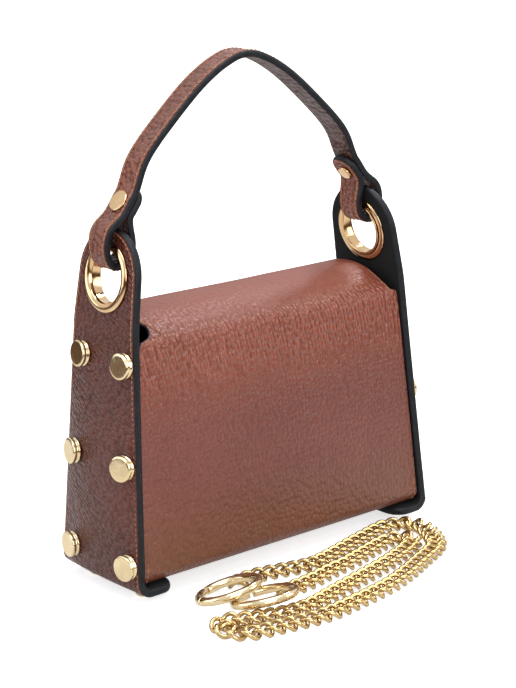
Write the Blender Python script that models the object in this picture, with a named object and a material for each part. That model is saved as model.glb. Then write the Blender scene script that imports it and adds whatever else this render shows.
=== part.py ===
"""A small boxy handbag: two studded side panels that end in eyelet tabs, one wrapped body with a fold-over
flap, an arched handle looped through the eyelets, and a loose chain strap with two gate rings.

Units are metres. X runs along the bag, -Y is the face that the wrap shows whole, and +Z is up.
The origin is on the floor, under the middle of the bag, at the bottom of its four feet."""

import math

import bmesh
import bpy
from mathutils import Matrix, Vector

MM = 0.001

# Overall sizes
BAG_WIDTH = 210 * MM  # over the edges of the side panels, at the base
BASE_DEPTH = 74 * MM  # of a side panel at the base
FOOT_HEIGHT = 4.5 * MM  # from the floor to the underside of the side panels' tongues
SEAT_GAP = 0.3 * MM  # between neighbours that touch
HALF_WIDTH = BAG_WIDTH / 2
HALF_DEPTH = BASE_DEPTH / 2

# Leather
PANEL_LEATHER = 2.2 * MM
PANEL_LINING = 1.8 * MM
WALL_LEATHER = 2.0 * MM
WALL_LINING = 1.0 * MM
FLAP_LEATHER = 2.2 * MM
PANEL_STACK = PANEL_LEATHER + SEAT_GAP + PANEL_LINING

# Side panel: heights are above the underside of its tongue
PANEL_LEAN_SHARE = 0.064  # inward run for each unit of height
TAB_LEAN_SHARE = 0.160  # the same, for the tab that holds the eyelet
TAB_BEND_HEIGHT = 140 * MM  # where the body ends and its tabs begin; the flap, eyelets and studs follow it
TAB_BEND_SOFTNESS = 4 * MM
EYELET_RISE = 27 * MM  # above the tab's bend
EYELET_HEIGHT = TAB_BEND_HEIGHT + EYELET_RISE
TAB_RADIUS = 26 * MM  # of the tab's round top, about the eyelet
PANEL_BULGE = 5.5 * MM  # how far the middle of a panel stands out past its edges
BULGE_HEIGHT = 62 * MM
BULGE_OVERLAP = 2 * MM  # how far past the eyelet's lower edge the bulge fades out
PANEL_BEND_RADIUS = 8 * MM  # where a panel turns under the base
TONGUE_LENGTH = 16.5 * MM  # flat part of the tongue, past that bend
TONGUE_SHARES = ((1.0, 0.70), (0.94, 0.83), (0.78, 0.93), (0.45, 0.99))  # distance from the bend, half depth
PANEL_COLUMNS = 6
PANEL_ROWS = 9
TAB_ROWS = 6

# Wrapped body
WALL_INSET = 2.5 * MM  # from a side panel's edge to the wrap's face
WALL_TOP_DROP = 6.7 * MM  # from the tabs' bend down to the wall's top
WALL_TOP_HEIGHT = TAB_BEND_HEIGHT - WALL_TOP_DROP
LINING_TOP_DROP = 2.5 * MM
WALL_CORNER_RADIUS = 8 * MM
FACE_BULGE = 1.5 * MM
WALL_COLUMNS = 6
WALL_ROWS = 7
BOARD_THICKNESS = 2 * MM
BOARD_MARGIN = 1 * MM
BOARD_CORNER_RADIUS = 4 * MM

# Flap: its top rises from the front fold to a ridge and drops to the back fold, where its end hangs down
FLAP_FOLD_INSET = 1.9 * MM  # from the side panel's front edge to the front fold
FLAP_FOLD_GAP = 1 * MM  # from the wall's top up to the front fold
FLAP_FOLD_HEIGHT = WALL_TOP_HEIGHT + FLAP_FOLD_GAP
FLAP_BACK_RISE = 1.7 * MM  # of the back fold, above the front one
FLAP_BACK_HEIGHT = FLAP_FOLD_HEIGHT + FLAP_BACK_RISE
RIDGE_RISE = 12.4 * MM
RIDGE_SHARES = (
    (0.014, 0.0541), (0.034, 0.0923), (0.070, 0.1354), (0.132, 0.2559), (0.172, 0.3554), (0.221, 0.4697),
    (0.262, 0.5541), (0.312, 0.6382), (0.385, 0.7622), (0.460, 0.8519), (0.539, 0.9021), (0.640, 0.9123),
    (0.718, 0.8856), (0.810, 0.7920), (0.885, 0.6187), (0.948, 0.3460), (0.982, 0.1394),
)  # distance from the front fold to the back one, rise above the straight line between them
FLAP_HALF_WIDTH = 89 * MM  # at the front fold
FLAP_TOP_HALF_WIDTH = 85.5 * MM  # behind the bites
FLAP_BACK_HALF_WIDTH = 83.8 * MM
FLAP_TAPER_SHARE = 0.6  # of the way back at which the flap's ends draw in; less is sooner
NOTCH_RADIUS = 6.5 * MM  # of the bite at each end of the front fold, along the leather
NOTCH_DISTANCE = 9.5 * MM  # from the front fold to the middle of the bite, along the leather
NOTCH_HALF_WIDTH = 80.5 * MM  # half the leather's width between the two bites
DROP_HEIGHT = 68 * MM  # of the flap's lower edge
DROP_CORNER_RADIUS = 16 * MM
FLAP_COLUMNS = 6
DROP_ROWS = 6

# Magnetic snap, between the flap's hanging end and the back wall
SNAP_RADIUS = 9 * MM
SNAP_THICKNESS = 1.75 * MM
SNAP_RISE = 17 * MM  # above the flap's lower edge
SNAP_RIM = 1.2 * MM
SNAP_POST_RADIUS = 2 * MM
SNAP_ROOM = 2 * SNAP_THICKNESS + 3 * SEAT_GAP

# Eyelets
EYELET_BORE_RADIUS = 13.7 * MM
EYELET_FLANGE_RADIUS = 19 * MM
EYELET_BARREL_WALL = 0.9 * MM
EYELET_CROWN = 1.8 * MM
EYELET_LIP = 0.7 * MM  # how far the barrel's rolled end reaches over the washer
EYELET_LIP_THICKNESS = 0.5 * MM
WASHER_THICKNESS = 0.8 * MM
BARREL_RADIUS = EYELET_BORE_RADIUS + EYELET_BARREL_WALL

# Studs on the side panels
STUD_ROWS = 3
STUD_TOP_DROP = 15.8 * MM  # from the tab's bend down to the top row
STUD_LOW_HEIGHT = 17 * MM
STUD_ROW_PITCH = (TAB_BEND_HEIGHT - STUD_TOP_DROP - STUD_LOW_HEIGHT) / (STUD_ROWS - 1)
STUD_EDGE = 10.7 * MM  # from the panel's edge to the top row, but for the shift below
STUD_EDGE_STEP = 0.3 * MM  # how much further in from the edge each lower row stands
STUD_SHIFT = 3.3 * MM  # towards the front on the left panel and, as it is turned round, the back on the right
STUD_HEAD_RADIUS = 7.1 * MM
STUD_NECK_RADIUS = 6.2 * MM
STUD_COLLAR_RADIUS = 6.8 * MM
STUD_PROUD = 4.8 * MM
STUD_CAP_HEIGHT = 2.2 * MM
STUD_COLLAR_HEIGHT = 1.4 * MM
STUD_CHAMFER = 0.6 * MM
POST_RADIUS = 1.5 * MM
POST_CLEARANCE = 0.3 * MM
NUT_RADIUS = 3.6 * MM
NUT_THICKNESS = 1.5 * MM
NUT_CLEARANCE = 0.4 * MM

# Feet
FOOT_RADIUS = 4.2 * MM
FOOT_FLAT_RADIUS = 2.4 * MM
FOOT_INSET = 12.5 * MM  # from the panel's edge, along X
FOOT_EDGE = 15.5 * MM  # the same, along Y

# Handle: heights are above the underside of the tongues, as on the side panels
STRAP_WIDTH = 17.2 * MM
STRAP_WAIST = 15.3 * MM  # its least width, where each loop passes through its eyelet
WAIST_START = 12 * MM  # from the strap's tip, along it
WAIST_END = 85 * MM
PLY = 1.75 * MM
STRAP_THICKNESS = 2 * PLY + SEAT_GAP
ARCH_TOP_HEIGHT = 277.3 * MM
LOOP_STAND = 5.546 * MM  # from the eyelet's face out to the loop's outer face
LOOP_LIFT = 3.9 * MM  # from the eyelet's middle up to the loop's bottom
LOOP_BOTTOM_HEIGHT = EYELET_HEIGHT + LOOP_LIFT
LOOP_REACH = 19.52 * MM  # across the loop
LOOP_RISE = 53.2 * MM  # from the loop's bottom to where the arch begins
ARCH_SHARES = (
    (0.0, 1.0), (0.0775, 0.987), (0.15375, 0.949), (0.25625, 0.879), (0.37375, 0.773), (0.48, 0.656),
    (0.59, 0.518), (0.70125, 0.3706), (0.80125, 0.2306), (0.88375, 0.0964),
)  # from the top of the arch outwards: distance from the middle, height over where the arch begins
LOOP_SHARES = (
    (1.255, 0.974), (1.11, 0.848), (1.0, 0.76), (0.8925, 0.707), (0.789, 0.654), (0.68, 0.598),
    (0.555, 0.548), (0.42, 0.51), (0.275, 0.472), (0.145, 0.422), (0.055, 0.36), (0.0075, 0.286),
    (0.0, 0.2), (0.055, 0.112), (0.17, 0.044), (0.32, 0.008), (0.465, 0.0), (0.64, 0.013), (0.85, 0.057),
    (0.975, 0.124), (1.0225, 0.212), (1.01, 0.306), (0.9625, 0.404), (0.9575, 0.488), (1.04, 0.53),
    (1.1105, 0.5638), (1.215, 0.6138), (1.319, 0.6638), (1.395, 0.7), (1.4235, 0.7138), (1.439, 0.7212),
)  # on round the right-hand loop to the strap's end: distance in from its outer side, height over its bottom
TIP_SHARE = 0.98  # of the tip's roundness that its last row reaches
RIVET_HEAD_RADIUS = 6.1 * MM
RIVET_HEAD_HEIGHT = 1.1 * MM
RIVET_SHANK_RADIUS = 1.9 * MM
RIVET_CAP_RADIUS = 4.5 * MM
RIVET_CAP_THICKNESS = 1.4 * MM
RIVET_CAP_WALL = 0.6 * MM
RIVET_REACH_SHARE = 0.789  # outer face of the strap at the rivet, of the loop's reach
RIVET_RISE_SHARE = 0.654  # the same, of the loop's rise
RIVET_TILT = math.radians(37.7)

# Chain strap and its two gate rings
CHAIN_WIDTH = 12 * MM
CHAIN_HEIGHT = 6 * MM
RING_RADIUS = 16.6 * MM  # to the middle of the ring's wire
RING_WIRE_RADIUS = 2.4 * MM
RING_FLOOR_GAP = 0.05 * MM
RING_STEP_SHARES = ((-0.98193, -0.75301), (0.54217, -1.13253))  # chain's start to ring 1, and on to ring 2
RING_LEANS = ((-0.147, 0.2725, 0.973), (-0.035, 0.262, 0.965))  # each ring's axis
GATE_TURNS = (math.radians(110), math.radians(84))  # towards each gate's pin, on the floor plan
GATE_ARC = math.radians(64)
PIN_RADIUS = 0.7 * MM
TANG_RADIUS = 1.7 * MM
TANG_THICKNESS = 1.5 * MM
CHAIN_ROUTE = (
    (-48.2, -48.2), (-38, -47), (-28, -48.5), (-15, -52), (-5, -54.5), (3, -55), (13, -53.3), (22, -51),
    (32, -48.5), (40, -46.2), (51, -43.6), (58, -41.8), (65, -40), (73, -40), (80.5, -44), (83.5, -52),
    (81, -62), (76, -72), (68.5, -81.5), (59, -87), (49.7, -90.8), (40.7, -94.8), (31.6, -98.8),
    (23, -102), (14.3, -105), (8, -106.6), (0.2, -108.1), (-7.6, -109.5), (-15, -110.5), (-24, -111.7),
    (-32, -112.6), (-41, -113), (-49.4, -112.4), (-60.7, -110.2), (-70, -108.3), (-80, -106.3),
    (-87.5, -103), (-92, -97), (-92.5, -90.5), (-89.5, -86), (-83.5, -85.5), (-75, -90), (-62, -95.3),
    (-50, -98.4), (-37, -98.3), (-28, -96.3), (-19, -94), (-11, -92.2), (-3.5, -90.4), (5.4, -88.3),
    (11, -87.0), (20, -84.8), (26, -83.4), (35, -80.7), (42, -78.2), (50, -75.4), (57.8, -71.6), (63.4, -67),
    (65, -62), (62.3, -57.8), (56, -56.8), (46, -58.8), (38, -61), (30, -63.2), (16, -67), (5, -68.7),
    (-5, -70.7), (-15, -73), (-25, -74.2), (-36.5, -74.7),
)  # from the first ring, right, round and back twice to the second, in millimetres

# Facets
STUD_SEGMENTS = 14
ROUND_SEGMENTS = 12
EYELET_SEGMENTS = 28
RING_SEGMENTS = 25
RING_SIDES = 8
HOLE_SEGMENTS = 8
STRAP_STEPS = 1  # between each two points of the strap's outline
CHAIN_STEPS = 3  # the same, where the chain's gap to itself is measured
CUT_OVERRUN = 3 * MM

# Colours, as red, green and blue, then roughness and metallic
FINISHES = {
    "panel_leather": ((0.115, 0.047, 0.040), 0.52, 0.0),
    "wall_leather": ((0.230, 0.088, 0.065), 0.50, 0.0),
    "strap_leather": ((0.150, 0.060, 0.048), 0.50, 0.0),
    "black_lining": ((0.012, 0.012, 0.014), 0.75, 0.0),
    "board": ((0.060, 0.055, 0.050), 0.90, 0.0),
    "pale_gold": ((0.830, 0.640, 0.350), 0.16, 1.0),
    "magnet_steel": ((0.520, 0.500, 0.470), 0.30, 1.0),
}


def clear_scene():
    for thing in list(bpy.data.objects):
        bpy.data.objects.remove(thing, do_unlink=True)


def finish(name, kind):
    """A material of its own for each object, in one of the finishes."""
    colour, roughness, metallic = FINISHES[kind]
    material = bpy.data.materials.new(name + "_" + kind)
    material.use_nodes = True
    shader = material.node_tree.nodes["Principled BSDF"]
    shader.inputs["Base Color"].default_value = (*colour, 1.0)
    shader.inputs["Roughness"].default_value = roughness
    shader.inputs["Metallic"].default_value = metallic
    return material


def add_object(name, mesh, kind, sharp_angle=math.radians(35)):
    part = bpy.data.objects.new(name, mesh)
    bpy.context.scene.collection.objects.link(part)
    mesh.materials.append(finish(name, kind))
    mesh.shade_smooth()
    mesh.set_sharp_from_angle(angle=sharp_angle)
    return part


def mesh_from(bm, name):
    bmesh.ops.recalc_face_normals(bm, faces=bm.faces)
    mesh = bpy.data.meshes.new(name)
    bm.to_mesh(mesh)
    bm.free()
    return mesh


def set_pivot(part, pivot):
    """Moves a part's origin to its joint's axis and leaves its shape where it is."""
    part.data.transform(Matrix.Translation(-Vector(pivot)))
    part.location = pivot
    return part


def make_cutter(name, mesh):
    cutter = add_object(name, mesh, "board")
    cutter.hide_render = True
    cutter.display_type = "WIRE"
    return cutter


def combine(part, other, operation="DIFFERENCE"):
    modifier = part.modifiers.new(other.name, "BOOLEAN")
    modifier.operation = operation
    modifier.solver = "EXACT"
    modifier.object = other


def frame_along(origin, axis):
    """A matrix whose Z runs along axis, from origin."""
    return Matrix.Translation(Vector(origin)) @ Vector(axis).to_track_quat("Z", "Y").to_matrix().to_4x4()


def turned_bm(outline, segments, at):
    """A closed body turned from an outline of (radius, height) about the Z axis of a frame.
    A first and last radius of zero close it on the axis; otherwise the outline is a loop."""
    bm = bmesh.new()
    turns = [2 * math.pi * k / segments for k in range(segments)]
    rings = []
    for radius, height in outline:
        if radius == 0:
            rings.append([bm.verts.new((0, 0, height))])
        else:
            rings.append([bm.verts.new((radius * math.cos(a), radius * math.sin(a), height)) for a in turns])
    pairs = list(zip(rings, rings[1:]))
    if outline[0][0] != 0:
        pairs.append((rings[-1], rings[0]))
    for low, high in pairs:
        for k in range(segments):
            n = (k + 1) % segments
            corners = [low[k % len(low)], low[n % len(low)], high[n % len(high)], high[k % len(high)]]
            bm.faces.new(list(dict.fromkeys(corners)))
    bm.transform(at)
    return bm


def add_turned(name, outline, segments, at, kind):
    return add_object(name, mesh_from(turned_bm(outline, segments, at), name), kind)


def rod(start, end, radius, segments=HOLE_SEGMENTS):
    """The mesh of a plain round cutter from one point to another."""
    start, end = Vector(start), Vector(end)
    length = (end - start).length
    outline = [(0, 0), (radius, 0), (radius, length), (0, length)]
    return mesh_from(turned_bm(outline, segments, frame_along(start, end - start)), "rod")


def cut_rods(part, name, rods):
    """Takes one cutter, made of rods that lie apart, out of the part."""
    bm = bmesh.new()
    for mesh in rods:
        bm.from_mesh(mesh)
        bpy.data.meshes.remove(mesh)
    combine(part, make_cutter(name, mesh_from(bm, name)))


def pushed(grid, distance):
    """A grid of points moved along its own normals."""
    rows, columns = len(grid), len(grid[0])
    result = []
    for i in range(rows):
        line = []
        for j in range(columns):
            down = grid[min(i + 1, rows - 1)][j] - grid[max(i - 1, 0)][j]
            across = grid[i][min(j + 1, columns - 1)] - grid[i][max(j - 1, 0)]
            line.append(grid[i][j] + across.cross(down).normalized() * distance)
        result.append(line)
    return result


def slab_mesh(name, face, back):
    """A closed slab between two grids of the same size, in triangles, so that both sides bend alike."""
    bm = bmesh.new()
    sides = [[[bm.verts.new(p) for p in row] for row in grid] for grid in (face, back)]
    rows, columns = len(face), len(face[0])
    for side in sides:
        for i in range(rows - 1):
            for j in range(columns - 1):
                bm.faces.new((side[i][j], side[i][j + 1], side[i + 1][j + 1]))
                bm.faces.new((side[i][j], side[i + 1][j + 1], side[i + 1][j]))
    rim = [(0, j) for j in range(columns)]
    rim += [(i, columns - 1) for i in range(1, rows)]
    rim += [(rows - 1, j) for j in range(columns - 2, -1, -1)]
    rim += [(i, 0) for i in range(rows - 2, 0, -1)]
    for (a, b), (c, d) in zip(rim, rim[1:] + rim[:1]):
        bm.faces.new((sides[0][a][b], sides[0][c][d], sides[1][c][d], sides[1][a][b]))
    return mesh_from(bm, name)


def mirrored(grid, side):
    return [[Vector((p.x * side, p.y, p.z)) for p in row] for row in grid]


def spread(count):
    """Evenly spaced shares from -1 to 1."""
    return [2 * k / count - 1 for k in range(count + 1)]


def between(low, high, count):
    return [low + (high - low) * k / count for k in range(count + 1)]


def smooth_path(points, steps):
    """Points along a smooth curve through the ones given, with a number of steps between each two."""
    path = []
    for i in range(len(points) - 1):
        before, start, end, after = (points[min(max(k, 0), len(points) - 1)] for k in range(i - 1, i + 3))
        for step in range(steps):
            t = step / steps
            bend = (end - before) * t + (before * 2 - start * 5 + end * 4 - after) * t**2
            bend += (start * 3 - before - end * 3 + after) * t**3
            path.append(start + bend / 2)
    return path + [points[-1]]


# The side panels


def panel_half_depth(height):
    """Half the panel's depth: a straight taper up to the eyelet, then the tab's round top."""
    if height <= EYELET_HEIGHT:
        return HALF_DEPTH + (TAB_RADIUS - HALF_DEPTH) * height / EYELET_HEIGHT
    rise = min(height - EYELET_HEIGHT, TAB_RADIUS)
    return math.sqrt(TAB_RADIUS**2 - rise**2)


def panel_edge_x(height):
    """How far the panel's outer face is from the middle of the bag, at its front and back edges."""
    over = max(0, height - TAB_BEND_HEIGHT)
    bend = over**2 / (over + TAB_BEND_SOFTNESS)
    return HALF_WIDTH - PANEL_LEAN_SHARE * height - (TAB_LEAN_SHARE - PANEL_LEAN_SHARE) * bend


def panel_bulge(height):
    fade = EYELET_HEIGHT - EYELET_FLANGE_RADIUS + BULGE_OVERLAP - BULGE_HEIGHT
    reach = min(1, abs(height - BULGE_HEIGHT) / fade)
    return PANEL_BULGE * (1 - reach**2) ** 1.5


def panel_x(y, height):
    """The panel's outer face at any place on it."""
    share = min(1, abs(y) / panel_half_depth(height))
    return panel_edge_x(height) + panel_bulge(height) * (1 - share**2)


def bend_x():
    """The middle of the bend where a panel turns under the base."""
    return panel_edge_x(PANEL_BEND_RADIUS) - PANEL_BEND_RADIUS


def panel_slopes(y, height):
    """How fast the panel's outer face moves out with y and with height."""
    step = PANEL_LEATHER
    slope_y = (panel_x(y + step, height) - panel_x(y - step, height)) / (2 * step)
    slope_z = (panel_x(y, height + step) - panel_x(y, height - step)) / (2 * step)
    return slope_y, slope_z


def panel_frame(y, height, side):
    """A frame on the panel's outer face, whose Z points out of the bag."""
    slope_y, slope_z = panel_slopes(y, height)
    return frame_along((side * panel_x(y, height), y, height + FOOT_HEIGHT), (side, -slope_y, -slope_z))


def panel_grid():
    """The outer face of the right-hand panel, from the end of its tongue to the top of its tab."""
    rows = []
    for reach_share, depth_share in TONGUE_SHARES:
        rows.append((0, bend_x() - TONGUE_LENGTH * reach_share, HALF_DEPTH * depth_share, 0))
    for turn in between(0, math.pi / 2, 4)[:-1]:
        height = PANEL_BEND_RADIUS * (1 - math.cos(turn))
        swell = panel_bulge(PANEL_BEND_RADIUS) * math.sin(turn) ** 2
        rows.append((height, bend_x() + PANEL_BEND_RADIUS * math.sin(turn), HALF_DEPTH, swell))
    heights = between(PANEL_BEND_RADIUS, TAB_BEND_HEIGHT, PANEL_ROWS)
    heights += between(TAB_BEND_HEIGHT, EYELET_HEIGHT, 3)[1:]
    for height in heights:
        rows.append((height, panel_edge_x(height), panel_half_depth(height), panel_bulge(height)))
    for turn in between(0, math.radians(80), TAB_ROWS)[1:]:
        height = EYELET_HEIGHT + TAB_RADIUS * math.sin(turn)
        rows.append((height, panel_edge_x(height), TAB_RADIUS * math.cos(turn), 0))
    shares = spread(PANEL_COLUMNS)
    return [[Vector((x + swell * (1 - t * t), t * half, height + FOOT_HEIGHT)) for t in shares]
            for height, x, half, swell in rows]


def stud_places(side):
    """(y, height) of the six studs on a side panel."""
    places = []
    for row in range(STUD_ROWS):
        height = TAB_BEND_HEIGHT - STUD_TOP_DROP - row * STUD_ROW_PITCH
        y = panel_half_depth(height) - STUD_EDGE - row * STUD_EDGE_STEP
        places += [(side * STUD_SHIFT - y, height), (side * STUD_SHIFT + y, height)]
    return places


def foot_places(side):
    x = side * (HALF_WIDTH - FOOT_INSET)
    y = HALF_DEPTH - FOOT_EDGE
    return [(x, -y), (x, y)]


def hole_along(place, radius, segments=HOLE_SEGMENTS):
    """A cutter along a frame's Z, long enough to pass through all of a panel's layers."""
    start = place @ Vector((0, 0, -PANEL_STACK - CUT_OVERRUN))
    end = place @ Vector((0, 0, CUT_OVERRUN))
    return rod(start, end, radius, segments)


def foot_hole(x, y, radius):
    return rod((x, y, 0), (x, y, nut_floor() + NUT_THICKNESS + CUT_OVERRUN), radius)


def make_side_panels():
    """The studded leather of each end, and the black board and lining behind it."""
    grid = panel_grid()
    inner_grid = pushed(grid, -PANEL_LEATHER - SEAT_GAP)
    bore = BARREL_RADIUS + SEAT_GAP
    for side, word in ((-1, "left"), (1, "right")):
        for name, face, thickness, kind, stud_hole in (
            ("side_panel_", grid, PANEL_LEATHER, "panel_leather", POST_RADIUS + POST_CLEARANCE),
            ("side_lining_", inner_grid, PANEL_LINING, "black_lining", NUT_RADIUS + NUT_CLEARANCE),
        ):
            mesh = slab_mesh(name + word, mirrored(face, side), mirrored(pushed(face, -thickness), side))
            part = add_object(name + word, mesh, kind)
            rods = [hole_along(panel_frame(0, EYELET_HEIGHT, side), bore, EYELET_SEGMENTS)]
            rods += [hole_along(panel_frame(y, height, side), stud_hole) for y, height in stud_places(side)]
            rods += [foot_hole(x, y, POST_RADIUS + POST_CLEARANCE) for x, y in foot_places(side)]
            cut_rods(part, "cuts_" + name + word, rods)


# The wrapped body


def base_floor():
    """Height of the wrap's underside, above the tongues' underside."""
    return PANEL_STACK + SEAT_GAP


def board_floor():
    return FOOT_HEIGHT + base_floor() + WALL_LEATHER + SEAT_GAP


def nut_floor():
    return board_floor() + BOARD_THICKNESS + SEAT_GAP


def room_x(y, height):
    """Half the room between the two side linings, less a seat gap, at a height above the tongues."""
    if height >= PANEL_BEND_RADIUS:
        return panel_x(y, height) - (PANEL_STACK + SEAT_GAP) * math.hypot(1, *panel_slopes(y, height))
    inner = PANEL_BEND_RADIUS - PANEL_STACK
    drop = PANEL_BEND_RADIUS - height
    return bend_x() + math.sqrt(inner**2 - drop**2) - SEAT_GAP


def wall_path(inset, top, floor, rows):
    """(y, height) down the front wall, under the base and up the back wall, inset from the panels' edges."""
    radius = WALL_CORNER_RADIUS - (inset - WALL_INSET)
    corner = floor + radius
    side = panel_half_depth(corner) - inset
    front = [(-(panel_half_depth(height) - inset), height) for height in between(top, corner, rows)]
    for turn in between(0, math.pi / 2, 3)[1:]:
        front.append((-(side - radius + radius * math.cos(turn)), corner - radius * math.sin(turn)))
    return front + [(0, floor)] + [(-y, height) for y, height in reversed(front)]


def wall_grid(path, top, spare):
    """Rows along the path and columns across the bag, with a soft swell on the front face."""
    grid = []
    for y, height in path:
        half = room_x(y, height) - spare
        swell = FACE_BULGE * math.sin(math.pi * min(1, height / top)) if y < 0 else 0
        grid.append([Vector((half * t, y - swell * (1 - t * t), height + FOOT_HEIGHT))
                     for t in spread(WALL_COLUMNS)])
    return grid


def back_wall_frame(height):
    """A frame on the back wall's face, whose Z points out of the bag."""
    slope = (TAB_RADIUS - HALF_DEPTH) / EYELET_HEIGHT
    return frame_along((0, panel_half_depth(height) - WALL_INSET, height + FOOT_HEIGHT), (0, 1, -slope))


def make_body():
    """The wrap of the front, base and back, the stiff board in its base and its thin lining."""
    face = wall_grid(wall_path(WALL_INSET, WALL_TOP_HEIGHT, base_floor(), WALL_ROWS), WALL_TOP_HEIGHT, 0)
    back = pushed(face, WALL_LEATHER)
    for line in (back[0], back[-1]):
        for point in line:
            point.z -= WALL_LEATHER
    shell = add_object("body_shell", slab_mesh("body_shell", face, back), "wall_leather")
    rods = [foot_hole(x, y, POST_RADIUS + POST_CLEARANCE) for side in (-1, 1) for x, y in foot_places(side)]
    snap = back_wall_frame(DROP_HEIGHT + SNAP_RISE)
    rods.append(rod(snap @ Vector((0, 0, -WALL_LEATHER - SEAT_GAP / 2)), snap @ Vector((0, 0, CUT_OVERRUN)),
                    SNAP_POST_RADIUS + POST_CLEARANCE))
    cut_rods(shell, "cuts_shell", rods)

    low = board_floor()
    half_y = HALF_DEPTH - WALL_INSET - WALL_CORNER_RADIUS
    half_x = room_x(0, base_floor()) - BOARD_MARGIN
    bm = bmesh.new()
    bmesh.ops.create_cube(bm, size=1)
    bm.transform(Matrix.Translation((0, 0, low + BOARD_THICKNESS / 2))
                 @ Matrix.Diagonal((2 * half_x, 2 * half_y, BOARD_THICKNESS, 1)))
    uprights = [edge for edge in bm.edges if (edge.verts[0].co - edge.verts[1].co).xy.length == 0]
    bmesh.ops.bevel(bm, geom=uprights, offset=BOARD_CORNER_RADIUS, segments=3, affect="EDGES", profile=0.5)
    board = add_object("base_board", mesh_from(bm, "base_board"), "board")
    rods = [foot_hole(x, y, POST_RADIUS + POST_CLEARANCE) for side in (-1, 1) for x, y in foot_places(side)]
    cut_rods(board, "cuts_board", rods)

    inset = WALL_INSET + WALL_LEATHER + SEAT_GAP
    top = WALL_TOP_HEIGHT - LINING_TOP_DROP
    path = wall_path(inset, top, nut_floor() - FOOT_HEIGHT, WALL_ROWS)
    grid = wall_grid(path, WALL_TOP_HEIGHT, SEAT_GAP)
    mesh = slab_mesh("body_lining", grid, pushed(grid, WALL_LINING))
    lining = add_object("body_lining", mesh, "black_lining")
    rods = [foot_hole(x, y, NUT_RADIUS + NUT_CLEARANCE) for side in (-1, 1) for x, y in foot_places(side)]
    cut_rods(lining, "cuts_lining", rods)


# The flap


def flap_profile():
    """(y, height) of the flap's outer face, from the front fold to the back one."""
    front = FLAP_FOLD_INSET - panel_half_depth(FLAP_FOLD_HEIGHT)
    back = drop_y(FLAP_BACK_HEIGHT)
    points = []
    for run, rise in RIDGE_SHARES:
        height = FLAP_FOLD_HEIGHT + FLAP_BACK_RISE * run + RIDGE_RISE * rise
        points.append((front + (back - front) * run, height))
    return [(front, FLAP_FOLD_HEIGHT)] + points + [(back, FLAP_BACK_HEIGHT)]


def drop_y(height):
    """The outer face of the flap's hanging end, over the back wall and the snap."""
    return panel_half_depth(height) - WALL_INSET + SNAP_ROOM + FLAP_LEATHER


def front_fold():
    y, height = flap_profile()[0]
    return Vector((0, y, height + FOOT_HEIGHT))


def back_fold():
    y, height = flap_profile()[-1]
    return Vector((0, y, height + FOOT_HEIGHT))


def flap_half_width(distance, length):
    """Half the flap's width at a distance along the leather from the front fold."""
    bite_end = NOTCH_DISTANCE + NOTCH_RADIUS
    outer = FLAP_HALF_WIDTH if distance < NOTCH_DISTANCE else FLAP_TOP_HALF_WIDTH
    off = abs(distance - NOTCH_DISTANCE)
    if off < NOTCH_RADIUS:
        return outer - (outer - NOTCH_HALF_WIDTH) * math.sqrt(1 - (off / NOTCH_RADIUS) ** 2)
    taper = (max(0, distance - bite_end) / (length - bite_end)) ** FLAP_TAPER_SHARE
    return outer + (FLAP_BACK_HALF_WIDTH - outer) * taper


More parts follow.
